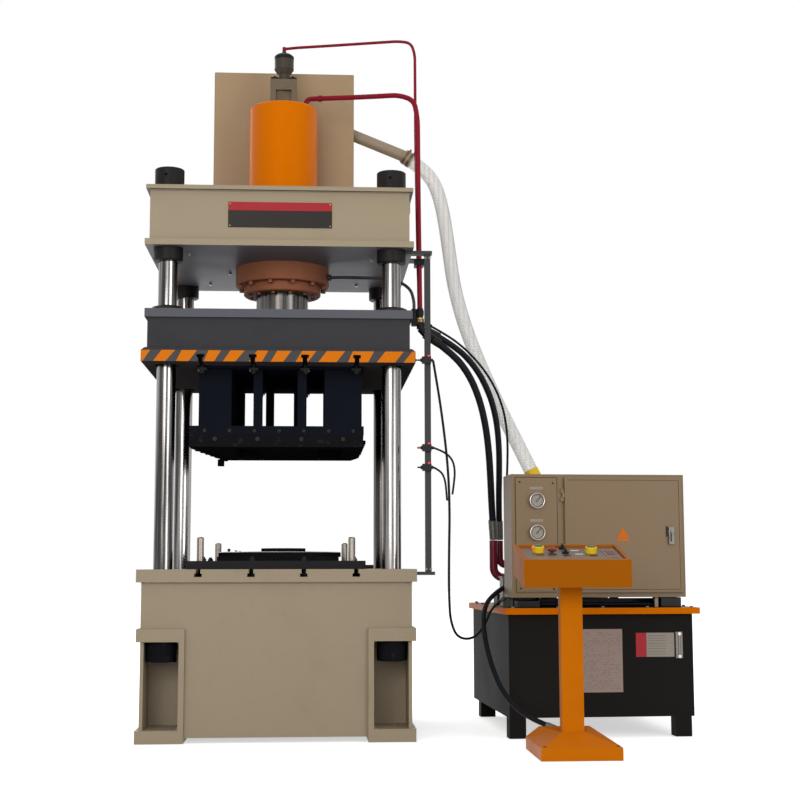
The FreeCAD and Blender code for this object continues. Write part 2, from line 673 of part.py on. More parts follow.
# ---------------------------------------------------------------- power unit
UNIT = Placement(Vector(size("unit_x"), size("unit_y"), 0), Rotation(Z_AXIS, size("unit_turn")))
V_BACK = Y_AXIS
tank_parts = [box("tank_outer", ("oil_width", "oil_depth", "lid_low-oil_low"), (0, 0, "oil_low"))]
for left, front in ((0, 0), (812, 0), (26, 997), (812, 997)):
    tank_parts.append(box("tank_foot", (80, 80, "oil_low+2"), (left, front, 0)))
tank_inner = box(
    "tank_inner", ("oil_width-2*sheet", "oil_depth-2*sheet", "lid_low-oil_low"),
    ("sheet", "sheet", "oil_low+sheet"),
)
node("reservoir_tank", cut("tank", fuse("tank_solid", tank_parts), tank_inner), UNIT)
lid_plate = box(
    "lid_plate", ("oil_width+2*lid_side", "oil_depth+2*lid_front", "lid_top-lid_low"),
    (-20, "-lid_front", "lid_low"),
)
lid_hole = rod("lid_hole", 90, 60, (560, 640, 560))
node("reservoir_lid", cut("lid", lid_plate, lid_hole), UNIT)
gauge_back = box("gauge_back", (33, 9, 126), (819, -9, 372))
gauge_slot = box("gauge_slot", (15, 5, 92), (828, -12, 389))
node("level_gauge", cut("sight_gauge", gauge_back, gauge_slot), UNIT)

cab_wide = "cab_right-cab_left"
cab_tall = "cab_top-cab_low"
cab_deep = "cab_back-cab_front"
cab_outer = box("cab_outer", (cab_wide, cab_deep, cab_tall), ("cab_left", "cab_front", "cab_low"))
cab_inner = box(
    "cab_inner", ("cab_right-cab_left-2*cab_sheet", "cab_back-cab_front-2*cab_sheet",
                  "cab_top-cab_low-2*cab_sheet"),
    ("cab_left+cab_sheet", "cab_front+cab_sheet", "cab_low+cab_sheet"),
)
cab_mouth = box("cab_mouth", (555, 20, 527), (305, 40, 705))
cab_shell = cut("cab_shell", cab_outer, fuse("cab_spaces", [cab_inner, cab_mouth]))
cab_parts = [cab_shell]
for left in (60, 790):
    cab_parts.append(box("cab_foot", (70, 40, "cab_low-lid_top"), (left, 210, "lid_top")))
cab_parts.append(box("cab_block", (99, 60, "cab_low-lid_top"), (759, 110, "lid_top")))
hinge_u = 284
hinge_v = 40
for height in (780, 1160):
    cab_parts.append(box("hinge_leaf", (27, 3, 60), (257, 47, height - 30)))
    cab_parts.append(box("hinge_web", (12, 14, 20), (272, 36, height + 10)))
    cab_parts.append(box("hinge_web", (12, 14, 20), (272, 36, height - 30)))
    cab_parts.append(rod("hinge_knuckle", 6, 20, (hinge_u, hinge_v, height + 10)))
    cab_parts.append(rod("hinge_knuckle", 6, 20, (hinge_u, hinge_v, height - 30)))
    cab_parts.append(rod("hinge_pin", 3, 60, (hinge_u, hinge_v, height - 30)))
node("cabinet_shell", fuse("cabinet", cab_parts), UNIT)

door_outer = box(
    "door_outer", ("door_right-door_left-1", 17.5, "door_top-door_low"), (291, 32, "door_low")
)
door_inner = box(
    "door_inner", ("door_right-door_left-1-2*cab_sheet", 17.5, "door_top-door_low-2*cab_sheet"),
    ("291+cab_sheet", "32+cab_sheet", "door_low+cab_sheet"),
)
door_parts = [cut("door_tray", door_outer, door_inner)]
for height in (780, 1160):
    door_parts.append(box("door_leaf", (12, 6, 19.4), (284, 34, height - 9.7)))
    door_parts.append(rod("door_knuckle", 6, 19.4, (hinge_u, hinge_v, height - 9.7)))
door_holes = [rod("handle_hole", 6.05, 60, (819, 10, 985), V_BACK)]
for height in (780, 1160):
    door_holes.append(rod("knuckle_bore", 3.05, 40, (hinge_u, hinge_v, height - 20)))
node("cabinet_door", cut("door", fuse("door_solid", door_parts), fuse("door_bores", door_holes)), UNIT)
handle_parts = [
    rod("handle_shaft", 6, 30, (819, 14, 985), V_BACK),
    rod("handle_hub", 15, 14, (819, 17.7, 985), V_BACK),
    box("handle_grip", (26, 12, 84), (806, 17, 921)),
    box("handle_cam", (12, 4, 30), (813, 40, 978)),
]
node("door_handle", fuse("handle", handle_parts), UNIT)

node("gauge_panel", group("dial_board", [box("dial_plate", (205, 4, 557), (50, 46, 690))]), UNIT)
cases = []
for word in ("gauge_high", "gauge_low"):
    case = rod(f"{word}_case", "gauge_radius", 24, (153, 22, size(word)), V_BACK)
    dish = rod(f"{word}_dish", "gauge_radius-5", 12, (153, 18, size(word)), V_BACK)
    stalk = rod(f"{word}_stalk", 2, 8, (153, 24.5, size(word)), V_BACK)
    cases.append(fuse(f"{word}_set", [cut(f"{word}_cup", case, dish), stalk]))
node("gauge_cases", group("dial_cases", cases), UNIT)
for label, word in (("upper_needle", "gauge_high"), ("lower_needle", "gauge_low")):
    hub = rod(f"{label}_hub", 5, 2, (0, 0, 0), V_BACK)
    pointer = box(f"{label}_bar", (3, 1.2, 34), (-1.5, 0.4, -8))
    eye = rod(f"{label}_eye", 2.05, 6, (0, -2, 0), V_BACK)
    needle = cut(f"{label}_cut", fuse(f"{label}_solid", [hub, pointer]), eye)
    spindle = Placement(Vector(153, 26, size(word)), Rotation(Y_AXIS, 40))
    node(label, needle, UNIT.multiply(spindle))

gear_parts = [
    box("gear_plate", (520, 4, 480), (320, 253, 720)),
    box("gear_rail_low", (480, 8, 35), (340, 245, 800)),
    box("gear_rail_high", (480, 8, 35), (340, 245, 1020)),
]
for number in range(6):
    gear_parts.append(box("gear_unit", (60, 90, 90), (350 + 76 * number, 156, 772)))
    gear_parts.append(box("gear_unit", (44, 70, 110), (350 + 76 * number, 176, 982)))
node("control_gear", fuse("gear", gear_parts), UNIT)

pump_place = Placement(
    UNIT.multVec(Vector(560, 640, 0)), Rotation(Z_AXIS, size("unit_turn"))
)
turned(
    "pump_bell",
    [(70, 480), (88, 480), (88, 615), (120, 615), (120, 630), (92, 645), (92, 700), (120, 712),
     (120, 726), (70, 726)],
    pump_place,
)
turned(
    "drive_motor",
    [(0, 600), (22, 600), (22, 726), (125, 726), (125, 742), (110, 750), (110, 1040), (96, 1048),
     (96, 1100), (86, 1112), (0, 1112)],
    pump_place,
)
manifold_block = box("manifold_block", (120, 190, 265), (135, 490, "lid_top"))
return_block = box("return_block", (92, 110, 60), (28, 465, "lid_top"))
node("valve_manifold", group("manifold", [manifold_block, return_block]), UNIT)

# Each riser turns from its hose into the manifold's left face; the flanges close on that face.
elbows = []
for number, (across, back, radius, low, flange, thick) in enumerate((
    (22.1, 529.5, 21, 757, 37, 16), (65.1, 596.7, 19, 824, 33, 14), (113.2, 644.7, 7, 862, 12, 6),
)):
    riser = coded(f"riser_{number}", tube(radius, [
        (across, back, 949), (across, back, low), (135, back, low)]))
    face = rod(f"riser_flange_{number}", flange, thick, (135 - thick, back, low), X_AXIS)
    elbows.append(fuse(f"elbow_{number}", [riser, face]))
node("pressure_elbows", group("risers", elbows), UNIT)

# ---------------------------------------------------------------- control console
stand_left = "stand_x-stand_width/2"
skirt = box("stand_skirt", ("stand_width", "stand_depth", "skirt"), (stand_left, "stand_front", 0))
reach, near = size("stand_width") / 2, size("stand_front")
left, right, far = size("stand_x") - reach, size("stand_x") + reach, near + size("stand_depth")
flare_foot = [
    (across, along, size("skirt"))
    for across, along in ((left, near), (right, near), (right, far), (left, far))
]
flare_head = [
    (across, along, size("stand_top"))
    for across, along in ((1241, -1144), (1345, -1144), (1408, -908), (1180, -908))
]
flare = coded("stand_flare", faceted(flare_foot, flare_head))
post = padded(
    "post_bar", "YZ_Plane", [(-1140, 90), (-1080, 90), (-1080, 758.3), (-1140, 748.3)], "post", 1245
)
node("console_stand", fuse("stand", [skirt, flare, post]))

back = near + size("box_depth")
box_side = [
    (near, size("box_front_low")), (back, size("box_back_low")),
    (back, size("box_back_high")), (near, size("box_front_high")),
]
box_outer = padded("box_outer", "YZ_Plane", box_side, "box_width", 1064)
box_inner = padded(
    "box_inner", "YZ_Plane", [(-1268, 733), (-1004, 777), (-1004, 930), (-1268, 870)],
    "box_width-2*box_rim", 1082,
)
node("console_box", cut("console", box_outer, box_inner))
PANEL_SLOPE = (size("box_back_high") - size("box_front_high")) / size("box_depth")
PANEL_TURN = math.degrees(math.atan(PANEL_SLOPE))


def panel_height(along):
    """Height of the sunk panel's face at this y."""
    return size("box_front_high") + (along - near) * PANEL_SLOPE - size("panel_drop")


def on_panel(across, along):
    """Frame standing on the panel, its Z square to the face."""
    return Placement(Vector(across, along, panel_height(along)), Rotation(X_AXIS, PANEL_TURN))


panel_plate = padded(
    "panel_plate", "YZ_Plane",
    [(-1268, panel_height(-1268) - 4), (-1004, panel_height(-1004) - 4),
     (-1004, panel_height(-1004)), (-1268, panel_height(-1268))],
    "box_width-2*box_rim", 1082,
)
controls = {
    "palm_button_left": (1158, -1090, 8), "palm_button_right": (1390, -1105, 8),
    "stop_button": (1216, -1108, 7), "selector_knob_left": (1275, -1020 - 10, 5),
    "selector_knob_right": (1274, -1120, 5),
}
panel_bores = []
guards = []
for label, (across, along, stem) in controls.items():
    place = on_panel(across, along)
    bored = doc.addObject("Part::Cylinder", f"{label}_bore")
    bored.Radius = stem + size("fit")
    bored.Height = 40
    bored.Placement = place.multiply(Placement(Vector(0, 0, -20), Rotation()))
    panel_bores.append(bored)
    if label.startswith("palm"):
        turned(label, [(0, -14), (8, -14), (8, 10), (20.5, 10), (20.5, 26), (14, 32), (0, 34)], place)
        guards.append(
            turned(f"{label}_guard", [(21.5, 0), (26, 0), (26, 24), (24, 27), (21.5, 27)], place, False)
        )
    elif label == "stop_button":
        turned(label, [(0, -14), (7, -14), (7, 8), (17, 8), (20, 12), (20, 18), (10, 24), (0, 24)], place)
    else:
        disc = rod(f"{label}_disc", 15, 9, (0, 0, 0.4))
        stem_bar = rod(f"{label}_stem", stem, 24, (0, 0, -14))
        grip = box(f"{label}_grip", (8, 30, 14), (-4, -15, 8))
        node(label, fuse(f"{label}_knob", [disc, stem_bar, grip]), place)
node("button_guards", group("guard_rings", guards))
node("control_panel", cut("panel", panel_plate, fuse("panel_holes", panel_bores)))

# ---------------------------------------------------------------- hoses and cables
clear_route = [(705, 330, 3052), (776, 330, 3002), (828, 328, 2932), (857, 324, 2849),
               (878, 319, 2752), (893, 313, 2650), (907, 308, 2543), (931, 298, 2350),
               (976, 286, 2162), (1039, 273, 1978), (1112, 256, 1799), (1189, 235, 1622),
               (1270, 203, 1448), (1350, 174, 1273), (1406, 164, 1088), (1411, 165, 894),
               (1410, 165, 700)]
hose_1_route = [(764, -252, 1960), (876, -225, 1886), (961, -192, 1783), (1016, -155, 1662),
                (1050, -117, 1534), (1070, -80, 1403), (1082, -42, 1271), (1091, -6, 1138),
                (1103, 31, 1006)]
hose_2_route = [(765, -200, 2000), (892, -153, 1940), (997, -110, 1843), (1072, -70, 1722),
                (1116, -30, 1585), (1135, 8, 1442), (1139, 43, 1298), (1139, 75, 1152),
                (1144, 101, 1006)]
pilot_hose_route = [(764, -202, 2033), (856, -150, 1994), (944, -104, 1938), (1024, -66, 1865),
                    (1093, -34, 1778), (1145, -4, 1676), (1176, 26, 1566), (1187, 55, 1454),
                    (1188, 83, 1343), (1186, 109, 1231), (1186, 132, 1119), (1190, 150, 1006)]
console_route = [(1135, -165, 712), (1055, -205, 668), (1007, -290, 590), (1000, -386, 487),
                 (1011, -465, 391), (1031, -549, 301), (1061, -642, 223), (1106, -735, 166),
                 (1161, -812, 127), (1224, -868, 103)]
trunk_route = [(746, -513, 1813), (763, -502, 1717), (779, -494, 1621), (793, -488, 1524),
               (805, -484, 1427), (815, -482, 1330), (822, -480, 1232), (825, -479, 1135),
               (826, -477, 1037), (824, -473, 939), (823, -467, 842), (823, -456, 744),
               (826, -440, 648), (833, -418, 553), (869, -386, 469), (952, -347, 461),
               (1014, -313, 527), (1049, -268, 606), (1102, -199, 640)]
lead_2_route = [(746, -512, 1385), (799, -510, 1367), (840, -508, 1328), (851, -506, 1273),
                (846, -504, 1217), (838, -502, 1160)]
lead_3_route = [(746, -512, 1290), (779, -512, 1274), (798, -512, 1242), (805, -512, 1205),
                (808, -512, 1168), (811, -512, 1130)]
for label, radius, route in (
    ("clear_hose", 38, clear_route), ("pressure_hose_1", 18, hose_1_route),
    ("pressure_hose_2", 16, hose_2_route), ("pilot_hose", 6, pilot_hose_route),
    ("console_cable", 12, console_route),
):
    node(label, coded(label, tube(radius, route)))
leads = [
    coded("switch_trunk", tube(6, trunk_route)),
    coded("switch_lead_2", tube(5, lead_2_route)),
    coded("switch_lead_3", tube(5, lead_3_route)),
]
node("switch_leads", group("lead_set", leads))


def beyond(route, reach, first=False):
    """The point that lies reach past an end of a route, along its last run."""
    inner, end = (route[1], route[0]) if first else (route[-2], route[-1])
    way = (Vector(*end) - Vector(*inner)).normalize()
    return tuple(round(value, 2) for value in Vector(*end) + way * reach)


cable_case = box("cable_case", (165, 90, 142), (35, 340, "lid_top"))
cable_box = fuse("cable_box", [cable_case, box("cable_lid", (175, 100, 8), (30, 335, 757))])
cable_box.Placement = UNIT
box_glands = [
    bar_between("trunk_gland", 10, trunk_route[-1], beyond(trunk_route, 74)),
    bar_between("console_gland", 16, console_route[0], beyond(console_route, 76, True)),
]
return_flange = rod("return_flange", 62, 24, (1409, 165, "lid_top"))
ends = [
    fuse("junction", [cable_box] + box_glands),
    fuse("return_set", [
        return_flange,
        bar_between("return_band", 45, clear_route[-1], beyond(clear_route, 70)),
    ]),
    bar_between("hose_1_end", 22, hose_1_route[-1], beyond(hose_1_route, 52)),
    bar_between("hose_2_end", 20, hose_2_route[-1], beyond(hose_2_route, 52)),
    bar_between("pilot_end", 9, pilot_hose_route[-1], beyond(pilot_hose_route, 52)),
    bar_between("stand_gland", 15, console_route[-1], beyond(console_route, 50)),
]
node("hose_ends", group("end_fittings", ends))

# ---------------------------------------------------------------- checks and files
doc.recompute()
for thing in doc.Objects:
    broken = [word for word in thing.State if word in ("Invalid", "Error")]
    if broken:
        print("fault", thing.Name, thing.Label, broken)
os.makedirs("parts", exist_ok=True)
total = 0
for thing in nodes:
    shape = thing.Shape
    if shape.isNull() or not shape.isValid() or not shape.Solids:
        raise ValueError(f"{thing.Label} has no sound shape")
    shape.exportStep(f"parts/{thing.Label}.step")
    bounds = shape.BoundBox
    total += 1
    print(
        f"{thing.Label:20s} solids {len(shape.Solids)} "
        f"x {bounds.XMin:.0f} {bounds.XMax:.0f} y {bounds.YMin:.0f} {bounds.YMax:.0f} "
        f"z {bounds.ZMin:.0f} {bounds.ZMax:.0f}"
    )
print("nodes", total)
for name, u, v, z in (("hinge", 284, 40, 780), ("handle", 819, 14, 985), ("dial", 153, 26, 1133)):
    print(name, UNIT.multVec(Vector(u, v, z)))
for label, (across, along, stem) in controls.items():
    print(label, across, along, round(panel_height(along), 3), round(PANEL_TURN, 4))
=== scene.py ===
import math
import random

import bmesh
import bpy
from mathutils import Matrix, Vector


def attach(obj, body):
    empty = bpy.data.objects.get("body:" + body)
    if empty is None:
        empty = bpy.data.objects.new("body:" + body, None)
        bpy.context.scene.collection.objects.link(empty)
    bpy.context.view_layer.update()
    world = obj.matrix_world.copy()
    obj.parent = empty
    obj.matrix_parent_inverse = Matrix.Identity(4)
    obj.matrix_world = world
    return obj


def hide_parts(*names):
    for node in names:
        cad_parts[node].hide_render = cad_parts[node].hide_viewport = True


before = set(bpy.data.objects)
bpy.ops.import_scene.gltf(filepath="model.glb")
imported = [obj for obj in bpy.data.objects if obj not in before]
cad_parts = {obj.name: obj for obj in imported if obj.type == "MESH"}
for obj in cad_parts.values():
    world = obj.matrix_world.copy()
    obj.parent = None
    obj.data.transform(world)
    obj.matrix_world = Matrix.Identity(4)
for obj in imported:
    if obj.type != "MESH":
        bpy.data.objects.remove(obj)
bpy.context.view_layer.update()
scene = bpy.context.scene

# ------------------------------------------------------------------ materials

# every finish under its name
FINISH = {}


def tint(red, green, blue):
    """A colour given as it looks on screen, made linear."""
    linear = [
        value / 255 / 12.92 if value <= 10 else ((value / 255 + 0.055) / 1.055) ** 2.4
        for value in (red, green, blue)
    ]
    return (*linear, 1.0)


def darker(colour, share):
    return tuple(value * share for value in colour[:3]) + (1.0,)


def add_node(tree, kind, **inputs):
    """A new node with some of its inputs set; an underscore in a label stands for a space."""
    made = tree.nodes.new(kind)
    for label, value in inputs.items():
        made.inputs[label.replace("_", " ")].default_value = value
    return made


def overlay(tree, share, under, over):
    """The socket of a colour laid by a share over another, which is a colour or a socket."""
    mix = tree.nodes.new("ShaderNodeMix")
    mix.data_type = "RGBA"
    if isinstance(under, tuple):
        mix.inputs["A"].default_value = under
    else:
        tree.links.new(under, mix.inputs["A"])
    mix.inputs["B"].default_value = over
    tree.links.new(share, mix.inputs["Factor"])
    return mix.outputs["Result"]


def surface(
    name, colour, rough=0.45, metal=0.0, grime_and_reflection=0.35, grime_and_reflection_size=5.0, dirt_and_reflection=None, bump=0.0,
    bump_size=120.0, coat=0.0, stretch=(1.0, 1.0, 1.0), wear=0.0, wear_colour=None, spread=0.55,
    full=0.85, shine=0.28, shine_tint=None,
):
    """A procedural finish: a base colour under patchy dirt, with uneven gloss and fine relief. On
    the chrome and the rod the patches are stretched into streaks, and there they are painted
    reflections.

    The dirt and the painted reflections set in where the noise passes spread and have their share,
    grime, from full on.
    """
    finish = bpy.data.materials.new(name)
    finish.use_nodes = True
    tree = finish.node_tree
    shader = tree.nodes["Principled BSDF"]
    link = tree.links.new
    place = tree.nodes.new("ShaderNodeTexCoord")
    mapping = add_node(tree, "ShaderNodeMapping", Scale=stretch)
    link(place.outputs["Object"], mapping.inputs["Vector"])
    patches = add_node(tree, "ShaderNodeTexNoise", Scale=grime_and_reflection_size, Detail=8, Roughness=0.62)
    link(mapping.outputs["Vector"], patches.inputs["Vector"])
    shader.inputs["Base Color"].default_value = colour
    shade = colour
    if grime_and_reflection:
        dirt_and_reflection_share = add_node(tree, "ShaderNodeMapRange", From_Min=spread, From_Max=full, To_Max=grime_and_reflection)
        link(patches.outputs["Fac"], dirt_and_reflection_share.inputs["Value"])
        shade = overlay(tree, dirt_and_reflection_share.outputs["Result"], shade, dirt_and_reflection or darker(colour, 0.35))
    if wear:
        scratches = add_node(tree, "ShaderNodeTexNoise", Scale=28, Detail=10)
        link(mapping.outputs["Vector"], scratches.inputs["Vector"])
        worn = add_node(tree, "ShaderNodeMapRange", From_Min=0.62, From_Max=0.70, To_Max=wear)
        link(scratches.outputs["Fac"], worn.inputs["Value"])
        shade = overlay(tree, worn.outputs["Result"], shade, wear_colour)
    if shade is not colour:
        link(shade, shader.inputs["Base Color"])
    gloss = add_node(tree, "ShaderNodeMapRange", To_Min=max(0.04, rough - 0.08),
                     To_Max=min(1.0, rough + 0.14))
    link(patches.outputs["Fac"], gloss.inputs["Value"])
    link(gloss.outputs["Result"], shader.inputs["Roughness"])
    shader.inputs["Metallic"].default_value = metal
    shader.inputs["Coat Weight"].default_value = coat
    shader.inputs["Specular IOR Level"].default_value = shine
    if shine_tint:
        shader.inputs["Specular Tint"].default_value = shine_tint
    if bump:
        grain = add_node(tree, "ShaderNodeTexNoise", Scale=bump_size, Detail=3)
        link(place.outputs["Object"], grain.inputs["Vector"])
        relief = add_node(tree, "ShaderNodeBump", Strength=bump, Distance=0.002)
        link(grain.outputs["Fac"], relief.inputs["Height"])
        link(relief.outputs["Normal"], shader.inputs["Normal"])
    FINISH[name] = finish
    return finish


def tone_and_shade_part(finish, colour, source, none_at, full_at):
    """Lay a second colour on part of a finish: a second tone of paint, and also painted shade on
    faces by the way they point.

    The source is a channel of the surface's normal or of its place; the colour grows from
    nothing to its full share between two values of it, upwards or downwards.
    """
    tree = finish.node_tree
    base = tree.nodes["Principled BSDF"].inputs["Base Color"]
    kind, channel = source
    if kind == "normal":
        value = tree.nodes.new("ShaderNodeNewGeometry").outputs["Normal"]
    else:
        value = tree.nodes.new("ShaderNodeTexCoord").outputs["Object"]
    split = tree.nodes.new("ShaderNodeSeparateXYZ")
    tree.links.new(value, split.inputs["Vector"])
    share = add_node(tree, "ShaderNodeMapRange", From_Min=none_at, From_Max=full_at)
    tree.links.new(split.outputs[channel], share.inputs["Value"])
    shade = overlay(tree, share.outputs["Result"], base.links[0].from_socket, colour)
    tree.links.new(shade, base)


def glow(name, colour, strength):
    lit = surface(name, colour, grime_and_reflection=0.0)
    shader = lit.node_tree.nodes["Principled BSDF"]
    shader.inputs["Emission Color"].default_value = colour
    shader.inputs["Emission Strength"].default_value = strength


# colour of the orange paints' gloss
GOLD = (1.0, 0.42, 0.05, 1.0)
surface("beige", tint(150, 136, 113), 0.42, grime_and_reflection=0.25, grime_and_reflection_size=3.2, dirt_and_reflection=tint(124, 110, 88),
        bump=0.10, bump_size=180, shine=0.16)
surface("tank_beige", tint(160, 134, 102), 0.44, grime_and_reflection=0.20, grime_and_reflection_size=2.4,
        dirt_and_reflection=tint(144, 119, 88), bump=0.10, bump_size=180)
surface("beige_low", tint(141, 127, 105), 0.44, grime_and_reflection=0.40, grime_and_reflection_size=2.4,
        dirt_and_reflection=tint(120, 105, 83), bump=0.12, bump_size=180, wear=0.10,
        wear_colour=tint(108, 94, 74))
surface("cabinet", tint(117, 96, 69), 0.40, grime_and_reflection=0.25, grime_and_reflection_size=2.2, dirt_and_reflection=tint(106, 86, 60),
        bump=0.14, bump_size=260)
surface("orange", tint(207, 107, 2), 0.30, grime_and_reflection=0.30, grime_and_reflection_size=4.0, dirt_and_reflection=tint(192, 90, 0),
        bump=0.05, shine=0.14, shine_tint=GOLD)
surface("lid", tint(192, 98, 0), 0.36, grime_and_reflection=0.45, grime_and_reflection_size=5.0, dirt_and_reflection=tint(156, 74, 0),
        bump=0.06, shine=0.06, shine_tint=GOLD)
surface("stand", tint(184, 100, 8), 0.38, grime_and_reflection=0.35, grime_and_reflection_size=3.5, dirt_and_reflection=tint(160, 80, 4),
        bump=0.08, bump_size=160, shine=0.10, shine_tint=GOLD)
surface("console", tint(144, 79, 8), 0.40, grime_and_reflection=0.40, grime_and_reflection_size=5.0, dirt_and_reflection=tint(128, 68, 8),
        bump=0.10, bump_size=220, shine=0.10, shine_tint=GOLD)
surface("rust", tint(142, 88, 62), 0.50, 0.10, grime_and_reflection=0.8, grime_and_reflection_size=6, dirt_and_reflection=tint(106, 76, 64),
        bump=0.15, shine=0.12)
# the chrome's dark vertical streaks are painted reflections
surface("chrome", tint(162, 159, 157), 0.13, 1.0, grime_and_reflection=0.95, grime_and_reflection_size=24, dirt_and_reflection=tint(52, 50, 48),
        stretch=(1, 1, 0.02), spread=0.40, full=0.56)
# the rod is a darker copy of the chrome, which is painted shade, with the same painted reflections
# in its streaks
surface("rod", tint(100, 97, 94), 0.20, 1.0, grime_and_reflection=0.95, grime_and_reflection_size=24, dirt_and_reflection=tint(38, 36, 35),
        stretch=(1, 1, 0.02), spread=0.42, full=0.60)
surface("black_steel", tint(24, 23, 22), 0.42, grime_and_reflection=0.5, grime_and_reflection_size=12, dirt_and_reflection=tint(42, 38, 34),
        bump=0.1, shine=0.12)
surface("black_paint", tint(30, 28, 26), 0.42, grime_and_reflection=0.45, grime_and_reflection_size=2.4, dirt_and_reflection=tint(40, 38, 36),
        bump=0.05, shine=0.01)
surface("rail", tint(44, 43, 44), 0.45, 0.1, grime_and_reflection=0.6, grime_and_reflection_size=7, dirt_and_reflection=tint(72, 62, 56),
        bump=0.1, stretch=(1, 1, 0.3))
surface("slide", tint(60, 60, 63), 0.46, grime_and_reflection=0.45, grime_and_reflection_size=3.0, dirt_and_reflection=tint(38, 38, 41),
        bump=0.10, bump_size=180, wear=0.15, wear_colour=tint(64, 64, 66), shine=0.0)
surface("navy", tint(21, 23, 31), 0.46, grime_and_reflection=0.6, grime_and_reflection_size=4.0, dirt_and_reflection=tint(28, 30, 37),
        bump=0.08, shine=0.0)
surface("bolster", tint(26, 26, 29), 0.42, grime_and_reflection=0.6, grime_and_reflection_size=5.0, dirt_and_reflection=tint(38, 34, 32),
        bump=0.08, shine=0.08)
surface("mould", tint(22, 22, 25), 0.55, grime_and_reflection=0.7, grime_and_reflection_size=6, dirt_and_reflection=tint(34, 31, 29), bump=0.1,
        wear=0.25, wear_colour=tint(62, 56, 50), shine=0.0)
surface("bright", tint(172, 168, 162), 0.26, 0.95, grime_and_reflection=0.5, grime_and_reflection_size=10, dirt_and_reflection=tint(92, 82, 74))
surface("pin", tint(138, 130, 122), 0.28, 0.9, grime_and_reflection=0.5, grime_and_reflection_size=12, dirt_and_reflection=tint(80, 72, 64))
surface("bronze", tint(42, 40, 39), 0.4, 0.6, grime_and_reflection=0.5, grime_and_reflection_size=14, dirt_and_reflection=tint(28, 26, 25))
surface("red", tint(128, 22, 38), 0.36, grime_and_reflection=0.45, grime_and_reflection_size=14, dirt_and_reflection=tint(84, 14, 26),
        shine=0.08)
surface("wine", tint(100, 20, 38), 0.30, grime_and_reflection=0.5, grime_and_reflection_size=22, dirt_and_reflection=tint(56, 14, 28), coat=0.1,
        shine=0.15)
surface("pipe_dark", tint(70, 60, 68), 0.4, 0.2, grime_and_reflection=0.5, grime_and_reflection_size=14, dirt_and_reflection=tint(46, 38, 42))
surface("plastic", tint(20, 19, 20), 0.42, grime_and_reflection=0.3, grime_and_reflection_size=20, dirt_and_reflection=tint(38, 36, 35),
        bump=0.05, shine=0.2)
surface("rubber", tint(18, 19, 24), 0.50, grime_and_reflection=0.4, grime_and_reflection_size=16, dirt_and_reflection=tint(30, 30, 34),
        bump=0.25, bump_size=300, shine=0.10)
surface("grey", tint(146, 130, 110), 0.45, grime_and_reflection=0.5, grime_and_reflection_size=14, dirt_and_reflection=tint(106, 92, 76),
        bump=0.15)
surface("valve", tint(96, 83, 66), 0.42, 0.35, grime_and_reflection=0.6, grime_and_reflection_size=12, dirt_and_reflection=tint(56, 48, 40),
        bump=0.1)
surface("cap", tint(62, 56, 48), 0.42, 0.5, grime_and_reflection=0.6, grime_and_reflection_size=14, dirt_and_reflection=tint(40, 36, 32),
        bump=0.1)
surface("panel", tint(112, 92, 78), 0.36, 0.5, grime_and_reflection=0.4, grime_and_reflection_size=8, dirt_and_reflection=tint(86, 66, 54),
        stretch=(1, 12, 12))
surface("green", tint(44, 84, 30), 0.3, grime_and_reflection=0.15, coat=0.3)
surface("stop", tint(100, 20, 18), 0.3, grime_and_reflection=0.15, coat=0.3)
surface("yellow", tint(214, 176, 22), 0.36, grime_and_reflection=0.3, grime_and_reflection_size=30, dirt_and_reflection=tint(186, 138, 14))
surface("white", tint(206, 200, 188), 0.5, grime_and_reflection=0.15)
surface("dial", tint(142, 134, 124), 0.5, grime_and_reflection=0.3, grime_and_reflection_size=40)
surface("paper", tint(146, 128, 119), 0.8, grime_and_reflection=0.35, grime_and_reflection_size=9, dirt_and_reflection=tint(124, 107, 98),
        shine=0.1)
surface("ink", tint(72, 62, 60), 0.8, grime_and_reflection=0.0, shine=0.1)
surface("seam", tint(56, 46, 34), 0.7, grime_and_reflection=0.0, shine=0.1)
surface("plate_black", tint(38, 33, 30), 0.4, grime_and_reflection=0.25, shine=0.15)
surface("plate_red", tint(154, 26, 36), 0.4, grime_and_reflection=0.2, shine=0.2)
surface("warning", tint(198, 106, 20), 0.42, grime_and_reflection=0.3, grime_and_reflection_size=8, dirt_and_reflection=tint(170, 86, 14),
        bump=0.05, shine_tint=GOLD)
surface("sign", tint(188, 98, 34), 0.5, grime_and_reflection=0.4, grime_and_reflection_size=40, dirt_and_reflection=tint(132, 70, 30),
        shine_tint=GOLD)
surface("band_ground", tint(54, 52, 52), 0.45, grime_and_reflection=0.3, grime_and_reflection_size=8, shine=0.2)
surface("label", tint(134, 126, 115), 0.5, grime_and_reflection=0.35, grime_and_reflection_size=30, dirt_and_reflection=tint(98, 92, 84))
surface("motor", tint(50, 62, 74), 0.4, 0.2, grime_and_reflection=0.4, grime_and_reflection_size=6, dirt_and_reflection=tint(38, 46, 54),
        bump=0.1)
glow("lamp", tint(255, 60, 34), 3.0)
glow("led", tint(236, 36, 60), 1.2)
surface("brass", tint(168, 142, 84), 0.32, 0.85, grime_and_reflection=0.5, grime_and_reflection_size=20)
surface("rusty", tint(150, 84, 50), 0.6, 0.2, grime_and_reflection=0.6, grime_and_reflection_size=20, dirt_and_reflection=tint(92, 52, 36))
surface("galvanised", tint(108, 104, 99), 0.40, 0.6, grime_and_reflection=0.5, grime_and_reflection_size=16,
        dirt_and_reflection=tint(70, 64, 59))
FACING_DOWN = (-0.90, -0.97)
FACING_UP = (0.90, 0.95)
